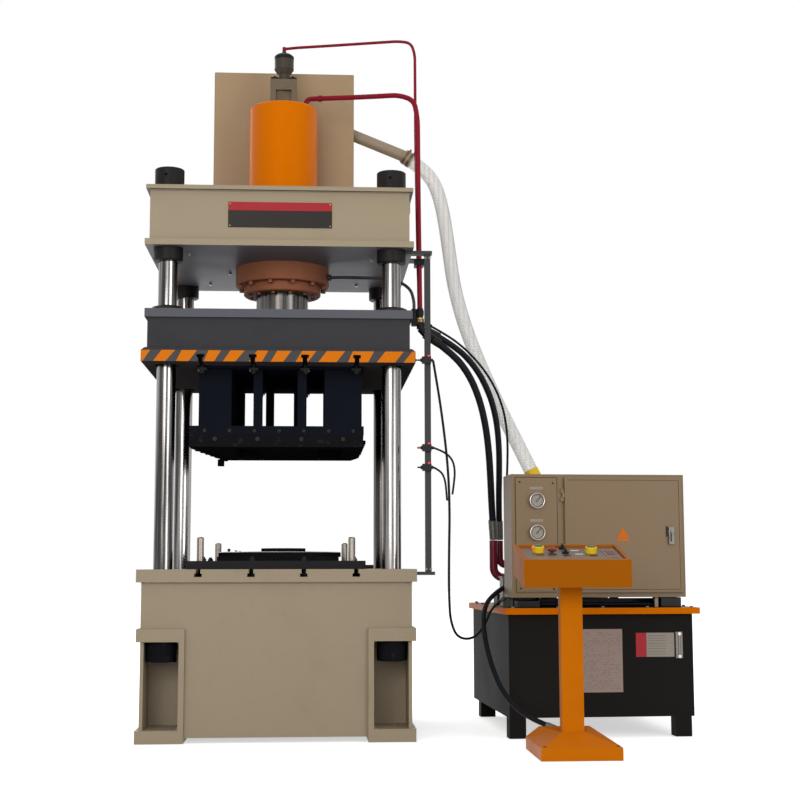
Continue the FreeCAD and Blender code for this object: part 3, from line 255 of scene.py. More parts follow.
# painted shade on the faces of the crown and the slide that point down, and a darker top on the
# tank's lid
tone_and_shade_part(FINISH["beige"], tint(92, 90, 96), ("normal", "Z"), *FACING_DOWN)
tone_and_shade_part(FINISH["slide"], tint(58, 56, 56), ("normal", "Z"), *FACING_DOWN)
tone_and_shade_part(FINISH["lid"], tint(66, 52, 40), ("normal", "Z"), *FACING_UP)
# the slide's lighter roof plate, above 1.999 m, and the cabinet's black foot, below 0.6625 m
tone_and_shade_part(FINISH["slide"], tint(90, 91, 97), ("place", "Z"), 1.9988, 1.9992)
tone_and_shade_part(FINISH["cabinet"], tint(30, 28, 26), ("place", "Z"), 0.6625, 0.6622)

CAD_FINISH = {
    "bed_frame": "beige_low", "crown_frame": "beige", "top_tank": "tank_beige",
    "tie_columns": "chrome", "lower_nuts": "mould", "crown_nuts": "black_steel",
    "cylinder_barrel": "orange", "cylinder_flange": "rust", "gland_ring": "rust",
    "cylinder_bolts": "rust", "prefill_valve": "valve", "pilot_cap": "cap",
    "tank_outlet": "grey", "main_pipe": "red", "pilot_pipe": "red", "rod_side_pipe": "pipe_dark",
    "pipe_fittings": "black_steel", "switch_rail": "rail", "limit_switches": "plastic",
    "slide_frame": "slide", "guide_bushes": "bronze", "piston_rod": "rod",
    "slide_bolts": "black_steel", "upper_mould_frame": "navy", "upper_mould": "mould",
    "guide_pins": "pin", "lower_bolster": "bolster", "lower_mould": "mould",
    "bed_bolts": "black_steel", "reservoir_tank": "black_paint", "reservoir_lid": "lid",
    "level_gauge": "galvanised", "cabinet_shell": "cabinet", "cabinet_door": "cabinet",
    "door_handle": "galvanised", "gauge_panel": "cabinet", "gauge_cases": "bright",
    "upper_needle": "plastic", "lower_needle": "plastic", "control_gear": "white",
    "pump_bell": "valve", "drive_motor": "motor", "valve_manifold": "black_steel",
    "pressure_elbows": "wine", "console_stand": "stand", "console_box": "console",
    "control_panel": "panel", "button_guards": "yellow", "palm_button_left": "green",
    "palm_button_right": "green", "stop_button": "stop", "selector_knob_left": "plastic",
    "selector_knob_right": "plastic", "hose_ends": "galvanised",
}
for node, finish in CAD_FINISH.items():
    for slot in bpy.data.objects[node].material_slots:
        slot.material = FINISH[finish]

# ------------------------------------------------------------------ small builders

# the power unit stands turned by 2.5 degrees; its pieces are given in its own frame
UNIT = Matrix.Translation((1.105, -0.497, 0)) @ Matrix.Rotation(math.radians(2.5), 4, "Z")
# the console's sunk panel: Y and Z of its front edge, and its rise towards the rear
PANEL_FRONT, PANEL_LOW = -1.286, 0.832
PANEL_SLOPE = 70 / 300


def on_panel(across, along):
    """Frame on the console's sunk panel; its Z is square to the face."""
    height = PANEL_LOW + (along - PANEL_FRONT) * PANEL_SLOPE
    turn = Matrix.Rotation(math.atan(PANEL_SLOPE), 4, "X")
    return Matrix.Translation((across, along, height)) @ turn


def piece(name, shape, finish, body, place=None):
    """Make an object of a bmesh, moved by place, with its finish and its body."""
    mesh = bpy.data.meshes.new(name)
    if place is not None:
        shape.transform(place)
    shape.to_mesh(mesh)
    shape.free()
    thing = bpy.data.objects.new(name, mesh)
    scene.collection.objects.link(thing)
    mesh.materials.append(FINISH[finish])
    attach(thing, body)
    return thing


def block_piece(name, finish, body, blocks, place=None):
    """A piece of blocks, each given as two corners and, where it has one, its bevel."""
    shape = bmesh.new()
    for block in blocks:
        add_block(shape, *block)
    return piece(name, shape, finish, body, place)


def rod_piece(name, finish, body, rods, place=None, sides=24):
    """A piece of bars, each given as foot, head, radius and, for a cone, the head's radius."""
    shape = bmesh.new()
    for rod in rods:
        add_rod(shape, *rod, sides=sides)
    return piece(name, shape, finish, body, place)


def add_block(shape, low, high, edge=0.0):
    """A block between two corners; edge rounds it with a small bevel."""
    centre = [(a + b) / 2 for a, b in zip(low, high)]
    extent = [abs(b - a) for a, b in zip(low, high)]
    part = bmesh.new()
    bmesh.ops.create_cube(part, size=1.0)
    bmesh.ops.scale(part, vec=extent, verts=part.verts)
    if edge:
        bmesh.ops.bevel(part, geom=list(part.edges), offset=edge, segments=2, affect="EDGES",
                        profile=0.5)
    bmesh.ops.translate(part, vec=centre, verts=part.verts)
    merge(shape, part)


def add_rod(shape, foot, head, radius, head_radius=None, sides=24):
    """A round bar or cone from foot to head; with six sides, a bolt's head."""
    way = Vector(head) - Vector(foot)
    part = bmesh.new()
    bmesh.ops.create_cone(
        part, cap_ends=True, segments=sides, radius1=radius,
        radius2=radius if head_radius is None else head_radius, depth=way.length,
    )
    turn = way.to_track_quat("Z", "Y").to_matrix().to_4x4()
    middle = (Vector(foot) + Vector(head)) / 2
    part.transform(Matrix.Translation(middle) @ turn)
    merge(shape, part)


def add_ball(shape, centre, radius, flat=1.0):
    """A ball, flattened in Z by flat."""
    part = bmesh.new()
    bmesh.ops.create_uvsphere(part, u_segments=16, v_segments=8, radius=radius)
    part.transform(Matrix.Translation(centre) @ Matrix.Diagonal((1, 1, flat, 1)))
    merge(shape, part)


def add_ring(shape, centre, axis, radius, thick, sides=36, around=8):
    """A torus."""
    part = bmesh.new()
    loops = []
    for step in range(sides):
        turn = 2 * math.pi * step / sides
        loop = []
        for inner in range(around):
            roll = 2 * math.pi * inner / around
            reach = radius + thick * math.cos(roll)
            spot = (reach * math.cos(turn), reach * math.sin(turn), thick * math.sin(roll))
            loop.append(part.verts.new(spot))
        loops.append(loop)
    for step in range(sides):
        near, far = loops[step], loops[(step + 1) % sides]
        for inner in range(around):
            after = (inner + 1) % around
            part.faces.new((near[inner], far[inner], far[after], near[after]))
    turn = Vector(axis).to_track_quat("Z", "Y").to_matrix().to_4x4()
    part.transform(Matrix.Translation(centre) @ turn)
    merge(shape, part)


def add_prism(shape, corners, front, back):
    """A plate from an outline in X and Z, between two Y planes."""
    near = [shape.verts.new((x, front, z)) for x, z in corners]
    far = [shape.verts.new((x, back, z)) for x, z in corners]
    shape.faces.new(near)
    shape.faces.new(far[::-1])
    count = len(corners)
    for index in range(count):
        after = (index + 1) % count
        shape.faces.new((near[after], near[index], far[index], far[after]))


def merge(shape, part):
    """Append one bmesh to another."""
    scratch = bpy.data.meshes.new("scratch")
    part.to_mesh(scratch)
    part.free()
    shape.from_mesh(scratch)
    bpy.data.meshes.remove(scratch)


def smooth(thing):
    """Shade a piece smooth, but for edges sharper than 40 degrees."""
    for face in thing.data.polygons:
        face.use_smooth = True
    thing.data.set_sharp_from_angle(angle=math.radians(40))


# ------------------------------------------------------------------ crown and bed

for name, finish, low, high in (
    ("nameplate_field", "plate_black", 2.452, 2.536),
    ("nameplate_band", "plate_red", 2.5362, 2.578),
):
    block_piece(name, finish, "frame", [((-0.253, -0.5585, low), (0.251, -0.5552, high), 0.0006)])
rivets = bmesh.new()
for across in (-0.244, 0.242):
    for height in (2.461, 2.569):
        add_ball(rivets, (across, -0.5588, height), 0.004)
smooth(piece("nameplate_rivets", rivets, "bright", "frame"))

# bolt heads under the crown's floor
FLOOR_BOLTS = ((-0.456, -0.377), (-0.278, 0.074), (0.456, -0.300), (-0.40, 0.36), (0.40, 0.36))
rod_piece("floor_bolts", "bright", "frame", [
    ((across, along, 2.3575), (across, along, 2.347), 0.009) for across, along in FLOOR_BOLTS
], sides=6)

# weld beads where the plates meet, by height and half length
WELDS = ((2.390, 0.629), (2.634, 0.629), (0.7415, 0.636))
WELD_RADIUS = 0.0035
beads = [((-reach, front, height), (reach, front, height), WELD_RADIUS)
         for front in (-0.5565, 0.5565) for height, reach in WELDS]
beads += [((side * reach, -0.555, height), (side * reach, 0.555, height), WELD_RADIUS)
          for side in (-1, 1) for height, reach in WELDS]
smooth(rod_piece("plate_welds", "beige", "frame", beads, sides=8))

# rounded inner corners of the bed's four pockets
POCKET_SIDE = 0.4562
POCKET_FLOOR, POCKET_ROOF = 0.0602, 0.4658
ROUND, ROUND_STEPS = 0.020, 8
fillets = bmesh.new()
for side in (-1, 1):
    for near, far in ((-0.5548, -0.3302), (0.3302, 0.5548)):
        for plane, turn in ((POCKET_FLOOR, 1), (POCKET_ROOF, -1)):
            corner = [(side * POCKET_SIDE, plane), (side * (POCKET_SIDE + ROUND), plane)]
            for step in range(1, ROUND_STEPS + 1):
                angle = math.pi / 2 * step / ROUND_STEPS
                corner.append((side * (POCKET_SIDE + ROUND - ROUND * math.sin(angle)),
                               plane + turn * (ROUND - ROUND * math.cos(angle))))
            add_prism(fillets, corner, near, far)
bmesh.ops.recalc_face_normals(fillets, faces=fillets.faces)
smooth(piece("pocket_fillets", fillets, "beige_low", "frame"))

# ------------------------------------------------------------------ hazard stripes on the slide

BAND_LOW, BAND_HIGH = 1.7836, 1.8368
STRIPE_LOW, STRIPE_HIGH = 1.7838, 1.8364
# half width and half depth of the slide
SLIDE_SIDE, SLIDE_FACE = 0.6525, 0.6270
SLOT_CENTRES = (-0.372, -0.124, 0.124, 0.372)
# a T-slot's neck and wide part, and the closed face above them: low, high, half width
SLOT_ROWS = ((BAND_LOW, 1.803, 0.0115), (1.803, 1.819, 0.0185), (1.819, BAND_HIGH, 0))


def clipped(corners, axis, limit, keep_above):
    """The part of a flat outline on one side of a straight line."""
    kept = []
    for index, spot in enumerate(corners):
        before = corners[index - 1]
        inside = (spot[axis] >= limit) == keep_above
        if inside != ((before[axis] >= limit) == keep_above):
            share = (limit - before[axis]) / (spot[axis] - before[axis])
            kept.append(tuple(p + (q - p) * share for p, q in zip(before, spot)))
        if inside:
            kept.append(spot)
    return kept


def add_slotted(shape, corners, front, back):
    """A plate from an outline, left open where the slide's T-slots run out."""
    for low, high, half in SLOT_ROWS:
        row = clipped(clipped(corners, 1, low, True), 1, high, False)
        edges = [-1.0]
        if half:
            for centre in SLOT_CENTRES:
                edges += [centre - half, centre + half]
        edges.append(1.0)
        for left, right in zip(edges[::2], edges[1::2]):
            bit = clipped(clipped(row, 0, left, True), 0, right, False)
            if len(bit) > 2:
                add_prism(shape, bit, front, back)


band = bmesh.new()
whole = ((-SLIDE_SIDE, BAND_LOW), (SLIDE_SIDE, BAND_LOW), (SLIDE_SIDE, BAND_HIGH),
         (-SLIDE_SIDE, BAND_HIGH))
add_slotted(band, whole, -0.6276, -SLIDE_FACE)
add_slotted(band, whole, SLIDE_FACE, 0.6276)
for side in (-1, 1):
    add_block(band, (side * 0.6520, -0.6274, BAND_LOW), (side * 0.6526, 0.6274, BAND_HIGH))
piece("stripe_ground", band, "band_ground", "slide")
# left and right end of each stripe at the top edge, then at the bottom edge
STRIPES = (
    (-0.652, -0.608, -0.652, -0.643), (-0.554, -0.491, -0.594, -0.536),
    (-0.460, -0.388, -0.486, -0.427), (-0.334, -0.275, -0.355, -0.306),
    (-0.230, -0.162, -0.265, -0.207), (-0.103, -0.051, -0.143, -0.080),
    (-0.008, 0.060, -0.039, 0.020), (0.110, 0.178, 0.079, 0.138), (0.228, 0.315, 0.188, 0.274),
    (0.352, 0.453, 0.329, 0.425), (0.508, 0.595, 0.466, 0.554), (0.636, 0.652, 0.595, 0.649),
)
stripes = bmesh.new()
for top_left, top_right, low_left, low_right in STRIPES:
    corners = ((low_left, STRIPE_LOW), (low_right, STRIPE_LOW), (top_right, STRIPE_HIGH),
               (top_left, STRIPE_HIGH))
    add_slotted(stripes, corners, -0.6282, -0.6277)
    add_slotted(stripes, tuple((-x, z) for x, z in corners[::-1]), 0.6277, 0.6282)
# the even stripes on both sides: first start, pitch, width, and shift of the upper edge
SIDE_START, SIDE_PITCH, SIDE_WIDE, SIDE_SHIFT = -0.59, 0.138, 0.062, 0.032
for side in (-1, 1):
    strip = bmesh.new()
    for step in range(9):
        start = SIDE_START + SIDE_PITCH * step
        end = start + SIDE_WIDE
        corners = ((start, STRIPE_LOW), (end, STRIPE_LOW), (end + SIDE_SHIFT, STRIPE_HIGH),
                   (start + SIDE_SHIFT, STRIPE_HIGH))
        add_prism(strip, corners, -0.0003, 0.0003)
    quarter = Matrix.Rotation(math.pi / 2, 4, "Z")
    strip.transform(Matrix.Translation((side * 0.6529, 0, 0)) @ quarter)
    merge(stripes, strip)
piece("stripes", stripes, "warning", "slide")

# ------------------------------------------------------------------ moulds

MOULD_TOP = 0.8862
ring = bmesh.new()
add_ring(ring, (-0.002, 0, MOULD_TOP), (0, 0, 1), 0.3085, 0.0032, sides=72)
smooth(piece("ring_lip", ring, "bright", "frame"))
studs = bmesh.new()
for across, height in ((-0.273, 0.909), (-0.236, 0.900), (-0.215, 0.897)):
    add_rod(studs, (across, 0.20, MOULD_TOP), (across, 0.20, height), 0.0085, sides=6)
add_block(studs, (0.4215, 0.300, 0.8032), (0.492, 0.335, 0.824), 0.002)
piece("mould_studs", studs, "black_steel", "frame")
# screws in the front of the upper mould's carrier plate, and of the retainer plate below it
MOULD_FRONT = -0.4500
screws = [((across, MOULD_FRONT, 1.470), (across, MOULD_FRONT - 0.0060, 1.470), 0.010)
          for across in (-0.36, -0.24, -0.12, 0.0, 0.12, 0.24, 0.36)]
screws += [((across, MOULD_FRONT, 1.430), (across, MOULD_FRONT - 0.0055, 1.430), 0.012)
           for across in (-0.31, -0.105, 0.107, 0.31)]
rod_piece("mould_screws", "black_steel", "slide", screws, sides=6)

# ------------------------------------------------------------------ pipes and limit switches

unions = bmesh.new()
add_rod(unions, (0.703, -0.250, 2.044), (0.703, -0.250, 2.058), 0.0215, sides=6)
add_rod(unions, (0.703, -0.250, 2.060), (0.703, -0.250, 2.066), 0.0195)
add_rod(unions, (0.703, -0.208, 2.065), (0.703, -0.208, 2.078), 0.0110, sides=6)
piece("pipe_unions", unions, "brass", "frame")
unions = bmesh.new()
add_rod(unions, (0.703, -0.250, 2.0905), (0.703, -0.250, 2.108), 0.0200, sides=6)
add_rod(unions, (0.703, -0.250, 2.108), (0.703, -0.250, 2.116), 0.0165)
add_rod(unions, (0.673, -0.250, 2.092), (0.673, -0.250, 2.112), 0.0165, sides=6)
piece("pipe_nuts", unions, "black_steel", "frame")
smooth(rod_piece("cap_band", "black_steel", "frame", [
    ((0, 0, 3.4985), (0, 0, 3.5165), 0.0522),
], sides=36))
lugs = bmesh.new()
for across in (-0.047, 0.047):
    add_block(lugs, (across - 0.021, -0.068, 3.3735), (across + 0.021, -0.030, 3.3835), 0.002)
    add_rod(lugs, (across, -0.049, 3.3835), (across, -0.049, 3.3925), 0.010, sides=6)
piece("valve_lugs", lugs, "black_steel", "frame")
rod_piece("clamp_bolts", "galvanised", "frame", [
    ((0.7232, along, 2.349), (0.732, along, 2.349), 0.006) for along in (-0.268, -0.229, -0.200)
], sides=6)

# the slanted outlet: its start, its way down and the direction square to it
OUTLET = Vector((0.660, 0.330, 3.0837))
WAY = Vector((0.8176, 0, -0.5758))
RISE = Vector((0.5758, 0, 0.8176))
clamps = bmesh.new()
for near, far in ((0.008, 0.022), (0.034, 0.048)):
    add_rod(clamps, OUTLET + WAY * near, OUTLET + WAY * far, 0.0425, sides=40)
for reach in (0.015, 0.041):
    spot = OUTLET + WAY * reach + RISE * 0.0465
    add_rod(clamps, spot - Vector((0, 0.014, 0)), spot + Vector((0, 0.014, 0)), 0.0055, sides=12)
smooth(piece("outlet_clamps", clamps, "valve", "frame"))

lights = bmesh.new()
for height in (1.833, 1.405, 1.310):
    add_ball(lights, (0.7235, -0.5245, height), 0.0058, 0.8)
smooth(piece("switch_lights", lights, "led", "frame"))
rod_piece("switch_tip", "rusty", "frame",
          [((0.6675, -0.512, 1.385), (0.683, -0.512, 1.385), 0.0048)])
rod_piece("rail_bolts", "galvanised", "frame", [
    ((across, -0.4990, height), (across, -0.5060, height), 0.0065)
    for height in (2.322, 0.802) for across in (0.711, 0.732)
], sides=6)

# ------------------------------------------------------------------ power unit

# seams of the fixed panel and of the door: left, right, low, high
PANEL_SEAMS = (
    (0.0492, 0.2558, 1.2455, 1.2480), (0.0492, 0.2558, 0.6890, 0.6912),
    (0.0485, 0.0506, 0.6890, 1.2480), (0.2543, 0.2564, 0.6890, 1.2480),
)
DOOR_SEAMS = (
    (0.306, 0.864, 1.2335, 1.2355), (0.306, 0.864, 0.7005, 0.7025), (0.862, 0.864, 0.7005, 1.2355),
)
for name, body, seams, front, back in (
    ("panel_seams", "frame", PANEL_SEAMS, 0.0454, 0.0468),
    ("door_seams", "door", DOOR_SEAMS, 0.0314, 0.0322),
):
    block_piece(name, "seam", body, [
        ((left, front, low), (right, back, high)) for left, right, low, high in seams
    ], UNIT)
PANEL_SCREWS = ((0.0708, 1.2245), (0.2345, 1.2190), (0.0708, 0.7080), (0.2345, 0.7040))
rod_piece("panel_screws", "black_steel", "frame", [
    ((across, 0.0460, height), (across, 0.0435, height), 0.0045)
    for across, height in PANEL_SCREWS
], UNIT, sides=12)

# two dials with eleven ticks each, from 225 degrees clockwise
DIAL_X, DIAL_HEIGHTS = 0.153, (1.133, 0.978)
FIRST_TICK, TICK_STEP = 225, 27
dials = bmesh.new()
bezels = bmesh.new()
marks = bmesh.new()
for height in DIAL_HEIGHTS:
    add_rod(dials, (DIAL_X, 0.0299, height), (DIAL_X, 0.0293, height), 0.0325, sides=40)
    add_ring(bezels, (DIAL_X, 0.0225, height), (0, 1, 0), 0.0353, 0.0030, sides=48)
    add_ring(marks, (DIAL_X, 0.0290, height), (0, 1, 0), 0.0305, 0.0010, sides=48)
    spot = Vector((DIAL_X, 0.0290, height))
    for step in range(11):
        angle = math.radians(FIRST_TICK - TICK_STEP * step)
        way = Vector((math.cos(angle), 0, math.sin(angle)))
        add_rod(marks, spot + way * 0.0235, spot + way * 0.0300, 0.0009, sides=6)
piece("dial_faces", dials, "dial", "frame", UNIT)
smooth(piece("dial_bezels", bezels, "bright", "frame", UNIT))
piece("dial_marks", marks, "plastic", "frame", UNIT)
block_piece("dial_labels", "label", "frame", [
    ((0.120, 0.0451, low), (0.184, 0.0460, low + 0.0135), 0.0003) for low in (1.1875, 1.0300)
], UNIT)

# a bare triangle over a bare strip
SIGN_LEFT, SIGN_RIGHT = 0.5475, 0.6085
sign = bmesh.new()
add_prism(sign, ((SIGN_LEFT, 0.9535), (SIGN_RIGHT, 0.9535), (0.578, 1.0035)), 0.0308, 0.0317)
add_block(sign, (SIGN_LEFT, 0.0308, 0.9370), (SIGN_RIGHT, 0.0317, 0.9495))
piece("door_plate", sign, "sign", "door", UNIT)

block_piece("lock_plate", "plastic", "door",
            [((0.794, 0.0299, 0.958), (0.8030, 0.0320, 1.009), 0.0006)], UNIT)
block_piece("handle_slot", "plastic", "handle",
            [((0.8125, 0.0167, 0.934), (0.8195, 0.0174, 0.990), 0.0002)], UNIT)

# what stands and runs between the tank's lid and the cabinet
LID_TOP = 0.6155
block_piece("cabinet_blocks", "plastic", "frame", [
    ((0.770, 0.060, LID_TOP), (0.872, 0.180, 0.6620), 0.003),
    ((0.060, 0.070, LID_TOP), (0.170, 0.170, 0.6480), 0.003),
    ((0.190, 0.218, LID_TOP), (0.868, 0.244, 0.6560), 0.003),
], UNIT)
block_piece("cabinet_post", "grey", "frame",
            [((0.742, 0.070, LID_TOP), (0.760, 0.088, 0.6635), 0.002)], UNIT)
smooth(rod_piece("suction_lines", "rubber", "frame", [
    ((0.180, 0.105, 0.6310), (0.742, 0.112, 0.6290), 0.0085),
    ((0.200, 0.150, 0.6270), (0.755, 0.160, 0.6270), 0.0110),
    ((0.300, 0.185, 0.6420), (0.500, 0.420, 0.6420), 0.0100),
], UNIT))
# along the lid's front and rear edges, then along its sides
lid_spots = [(across, back) for across in (0.020, 0.240, 0.460, 0.680, 0.900)
             for back in (-0.012, 1.090)]
lid_spots += [(across, back) for back in (0.180, 0.360, 0.720, 0.900)
              for across in (-0.007, 0.920)]
rod_piece("lid_bolts", "galvanised", "frame", [
    ((across, back, 0.6150), (across, back, 0.6225), 0.008) for across, back in lid_spots
], UNIT, sides=6)

# the taped sheet, with rows of faint strokes in place of its print
PAPER_FACE = -0.0014
ROWS, FIRST_ROW, ROW_STEP = 29, 0.496, 0.0095
LEFT_MARGIN, LAST_START, RIGHT_MARGIN = 0.352, 0.540, 0.546
block_piece("paper_sheet", "paper", "frame",
            [((0.3425, PAPER_FACE, 0.213), (0.5556, -0.0004, 0.513))], UNIT)
lines = bmesh.new()
random.seed(3)
for row in range(ROWS):
    height = FIRST_ROW - ROW_STEP * row
    left = LEFT_MARGIN
    while left < LAST_START:
        wide = random.uniform(0.004, 0.030)
        if random.random() < 0.72:
            add_block(lines, (left, -0.0017, height - 0.0011),
                      (min(left + wide, RIGHT_MARGIN), PAPER_FACE, height))
        left += wide + random.uniform(0.006, 0.016)
piece("paper_lines", lines, "ink", "frame", UNIT)

# the tank's bare label: a red field, a grey one and plain rules
block_piece("tank_label_red", "plate_red", "frame",
            [((0.6225, -0.0020, 0.379), (0.6750, -0.0006, 0.494), 0.0003)], UNIT)
block_piece("tank_label_grey", "label", "frame",
            [((0.6752, -0.0020, 0.379), (0.8130, -0.0006, 0.494), 0.0003)], UNIT)
block_piece("tank_label_rules", "ink", "frame", [
    ((0.684, -0.0024, 0.480 - 0.0125 * row), (0.772, -0.0020, 0.4812 - 0.0125 * row))
    for row in range(8)
], UNIT)
LEVEL_X = 0.8355
gauge = bmesh.new()
for height in (0.381, 0.489):
    add_rod(gauge, (LEVEL_X, -0.0090, height), (LEVEL_X, -0.0150, height), 0.0085, sides=6)
    add_rod(gauge, (LEVEL_X, -0.0150, height), (LEVEL_X, -0.0165, height), 0.0040)
piece("level_bolts", gauge, "bright", "frame", UNIT)
smooth(rod_piece("level_tube", "dial", "frame", [
    ((LEVEL_X, -0.0088, 0.390), (LEVEL_X, -0.0088, 0.480), 0.0044),
], UNIT, sides=16))

# motor: cooling fins, fan cowl with its grille, and terminal box
AXLE = UNIT @ Matrix.Translation((0.560, 0.640, 0))
FIN_COUNT = 32
fins = bmesh.new()
for step in range(FIN_COUNT):
    fin = bmesh.new()
    add_block(fin, (0.106, -0.0022, 0.765), (0.1235, 0.0022, 1.030))
    fin.transform(Matrix.Rotation(2 * math.pi * step / FIN_COUNT, 4, "Z"))
    merge(fins, fin)
piece("motor_fins", fins, "motor", "frame", AXLE)
cowl = bmesh.new()
add_rod(cowl, (0, 0, 1.032), (0, 0, 1.104), 0.1235, sides=40)
for reach in (0.030, 0.055, 0.080, 0.102):
    add_ring(cowl, (0, 0, 1.113), (0, 0, 1), reach, 0.0022, sides=40, around=6)
for step in range(4):
    spoke = bmesh.new()
    add_block(spoke, (-0.105, -0.002, 1.1105), (0.105, 0.002, 1.1145))
    spoke.transform(Matrix.Rotation(math.pi / 4 * step, 4, "Z"))
    merge(cowl, spoke)
smooth(piece("fan_cowl", cowl, "motor", "frame", AXLE))
terminal = bmesh.new()
add_block(terminal, (0.108, -0.060, 0.860), (0.176, 0.060, 0.960), 0.006)
add_block(terminal, (0.170, -0.066, 0.854), (0.182, 0.066, 0.966), 0.004)
add_rod(terminal, (0.145, 0, 0.862), (0.145, 0, 0.838), 0.014, sides=6)
piece("terminal_box", terminal, "motor", "frame", AXLE)

# directional valves and relief valve on the manifold
VALVE_HEIGHTS = (0.690, 0.760, 0.830)
valves = bmesh.new()
for height in VALVE_HEIGHTS:
    add_block(valves, (0.2552, 0.520, height - 0.024), (0.300, 0.590, height + 0.024), 0.003)
    add_block(valves, (0.2560, 0.592, height - 0.022), (0.298, 0.660, height + 0.022), 0.006)
add_block(valves, (0.150, 0.510, 0.8803), (0.240, 0.570, 0.925), 0.004)
for low, high, radius in ((0.8802, 0.950, 0.020), (0.950, 0.975, 0.013), (0.975, 0.986, 0.022)):
    add_rod(valves, (0.195, 0.6250, low), (0.195, 0.6250, high), radius)
smooth(piece("valve_bodies", valves, "valve", "frame", UNIT))
coils = []
for height in VALVE_HEIGHTS:
    coils += [((0.277, 0.519, height), (0.277, 0.470, height), 0.020),
              ((0.277, 0.470, height), (0.277, 0.458, height), 0.011)]
smooth(rod_piece("valve_coils", "plastic", "frame", coils, UNIT))
bolts = []
for face, back, height, radius in ((0.119, 0.5295, 0.757, 0.029), (0.121, 0.5967, 0.824, 0.026)):
    for step in range(4):
        angle = math.pi / 4 + math.pi / 2 * step
        spot = (back + radius * math.cos(angle), height + radius * math.sin(angle))
        bolts.append(((face, *spot), (face - 0.007, *spot), 0.0055))
rod_piece("flange_bolts", "galvanised", "frame", bolts, UNIT, sides=6)
smooth(rod_piece("tank_breather", "black_steel", "frame", [
    ((0.760, 0.930, 0.6152), (0.760, 0.930, 0.660), 0.026),
    ((0.760, 0.930, 0.660), (0.760, 0.930, 0.715), 0.042),
    ((0.760, 0.930, 0.715), (0.760, 0.930, 0.722), 0.038, 0.020),
], UNIT))

# ------------------------------------------------------------------ console

# gap between the panel's face and what lies on it
ON_FACE = 0.0002
LAMP = on_panel(1.149, -1.028)
DISPLAY = on_panel(1.470, -1.130)
jewel = bmesh.new()
add_ball(jewel, (0, 0, 0.004), 0.0105, 0.9)
smooth(piece("console_lamp", jewel, "lamp", "frame", LAMP))
smooth(rod_piece("lamp_collar", "bright", "frame",
                 [((0, 0, ON_FACE), (0, 0, 0.0045), 0.0140)], LAMP))
# bare strips: place on the panel, and half their width
LABEL_HALF_DEPTH = 0.006
for number, (across, along, half) in enumerate((
    (1.324, -1.066, 0.018), (1.331, -1.138, 0.018), (1.216, -1.145, 0.015),
    (1.274, -1.165, 0.015), (1.158, -1.150, 0.017), (1.390, -1.165, 0.017),
)):
    block_piece(f"console_label_{number}", "white" if number < 2 else "seam", "frame", [
        ((-half, -LABEL_HALF_DEPTH, ON_FACE), (half, LABEL_HALF_DEPTH, 0.0014), 0.0003),
    ], on_panel(across, along))
block_piece("display_frame", "label", "frame", [
    ((-0.0270, -0.072, ON_FACE), (0.0270, -0.068, 0.0035)),
    ((-0.0270, 0.068, ON_FACE), (0.0270, 0.072, 0.0035)),
    ((-0.0270, -0.068, ON_FACE), (-0.0240, 0.068, 0.0035)),
    ((0.0240, -0.068, ON_FACE), (0.0270, 0.068, 0.0035)),
], DISPLAY)
block_piece("display_field", "panel", "frame",
            [((-0.0238, -0.066, ON_FACE), (0.0238, 0.066, 0.0016))], DISPLAY)
block_piece("display_screen", "stop", "frame",
            [((-0.0160, -0.030, 0.0016), (0.0160, 0.044, 0.0028), 0.0004)], DISPLAY)
screws = []
for across in (1.094, 1.500):
    for along in (-1.255, -1.018):
        place = on_panel(across, along)
        screws.append((place @ Vector((0, 0, ON_FACE)), place @ Vector((0, 0, 0.0022)), 0.004))
rod_piece("console_screws", "bright", "frame", screws)
rod_piece("stand_bolts", "black_steel", "frame", [
    ((across, along, 0.0535), (across, along, 0.0600), 0.008)
    for across in (1.146, 1.460) for along in (-1.268, -0.872)
], sides=6)

# ------------------------------------------------------------------ cords

CLEAR_ROUTE = (
    (0.705, 0.330, 3.052), (0.776, 0.330, 3.002), (0.828, 0.328, 2.932), (0.857, 0.324, 2.849),
    (0.878, 0.319, 2.752), (0.893, 0.313, 2.650), (0.907, 0.308, 2.543), (0.931, 0.298, 2.350),
    (0.976, 0.286, 2.162), (1.039, 0.273, 1.978), (1.112, 0.256, 1.799), (1.189, 0.235, 1.622),
    (1.270, 0.203, 1.448), (1.350, 0.174, 1.273), (1.406, 0.164, 1.088), (1.411, 0.165, 0.894),
    (1.410, 0.165, 0.700),
)
HOSE_1_ROUTE = (
    (0.764, -0.252, 1.960), (0.876, -0.225, 1.886), (0.961, -0.192, 1.783), (1.016, -0.155, 1.662),
    (1.050, -0.117, 1.534), (1.070, -0.080, 1.403), (1.082, -0.042, 1.271), (1.091, -0.006, 1.138),
    (1.103, 0.031, 1.006),
)
HOSE_2_ROUTE = (
    (0.765, -0.200, 2.000), (0.892, -0.153, 1.940), (0.997, -0.110, 1.843), (1.072, -0.070, 1.722),
    (1.116, -0.030, 1.585), (1.135, 0.008, 1.442), (1.139, 0.043, 1.298), (1.139, 0.075, 1.152),
    (1.144, 0.101, 1.006),
)
PILOT_ROUTE = (
    (0.764, -0.202, 2.033), (0.856, -0.150, 1.994), (0.944, -0.104, 1.938), (1.024, -0.066, 1.865),
    (1.093, -0.034, 1.778), (1.145, -0.004, 1.676), (1.176, 0.026, 1.566), (1.187, 0.055, 1.454),
    (1.188, 0.083, 1.343), (1.186, 0.109, 1.231), (1.186, 0.132, 1.119), (1.190, 0.150, 1.006),
)
CONSOLE_ROUTE = (
    (1.135, -0.165, 0.712), (1.055, -0.205, 0.668), (1.007, -0.290, 0.590), (1.000, -0.386, 0.487),
    (1.011, -0.465, 0.391), (1.031, -0.549, 0.301), (1.061, -0.642, 0.223), (1.106, -0.735, 0.166),
    (1.161, -0.812, 0.127), (1.224, -0.868, 0.103),
)
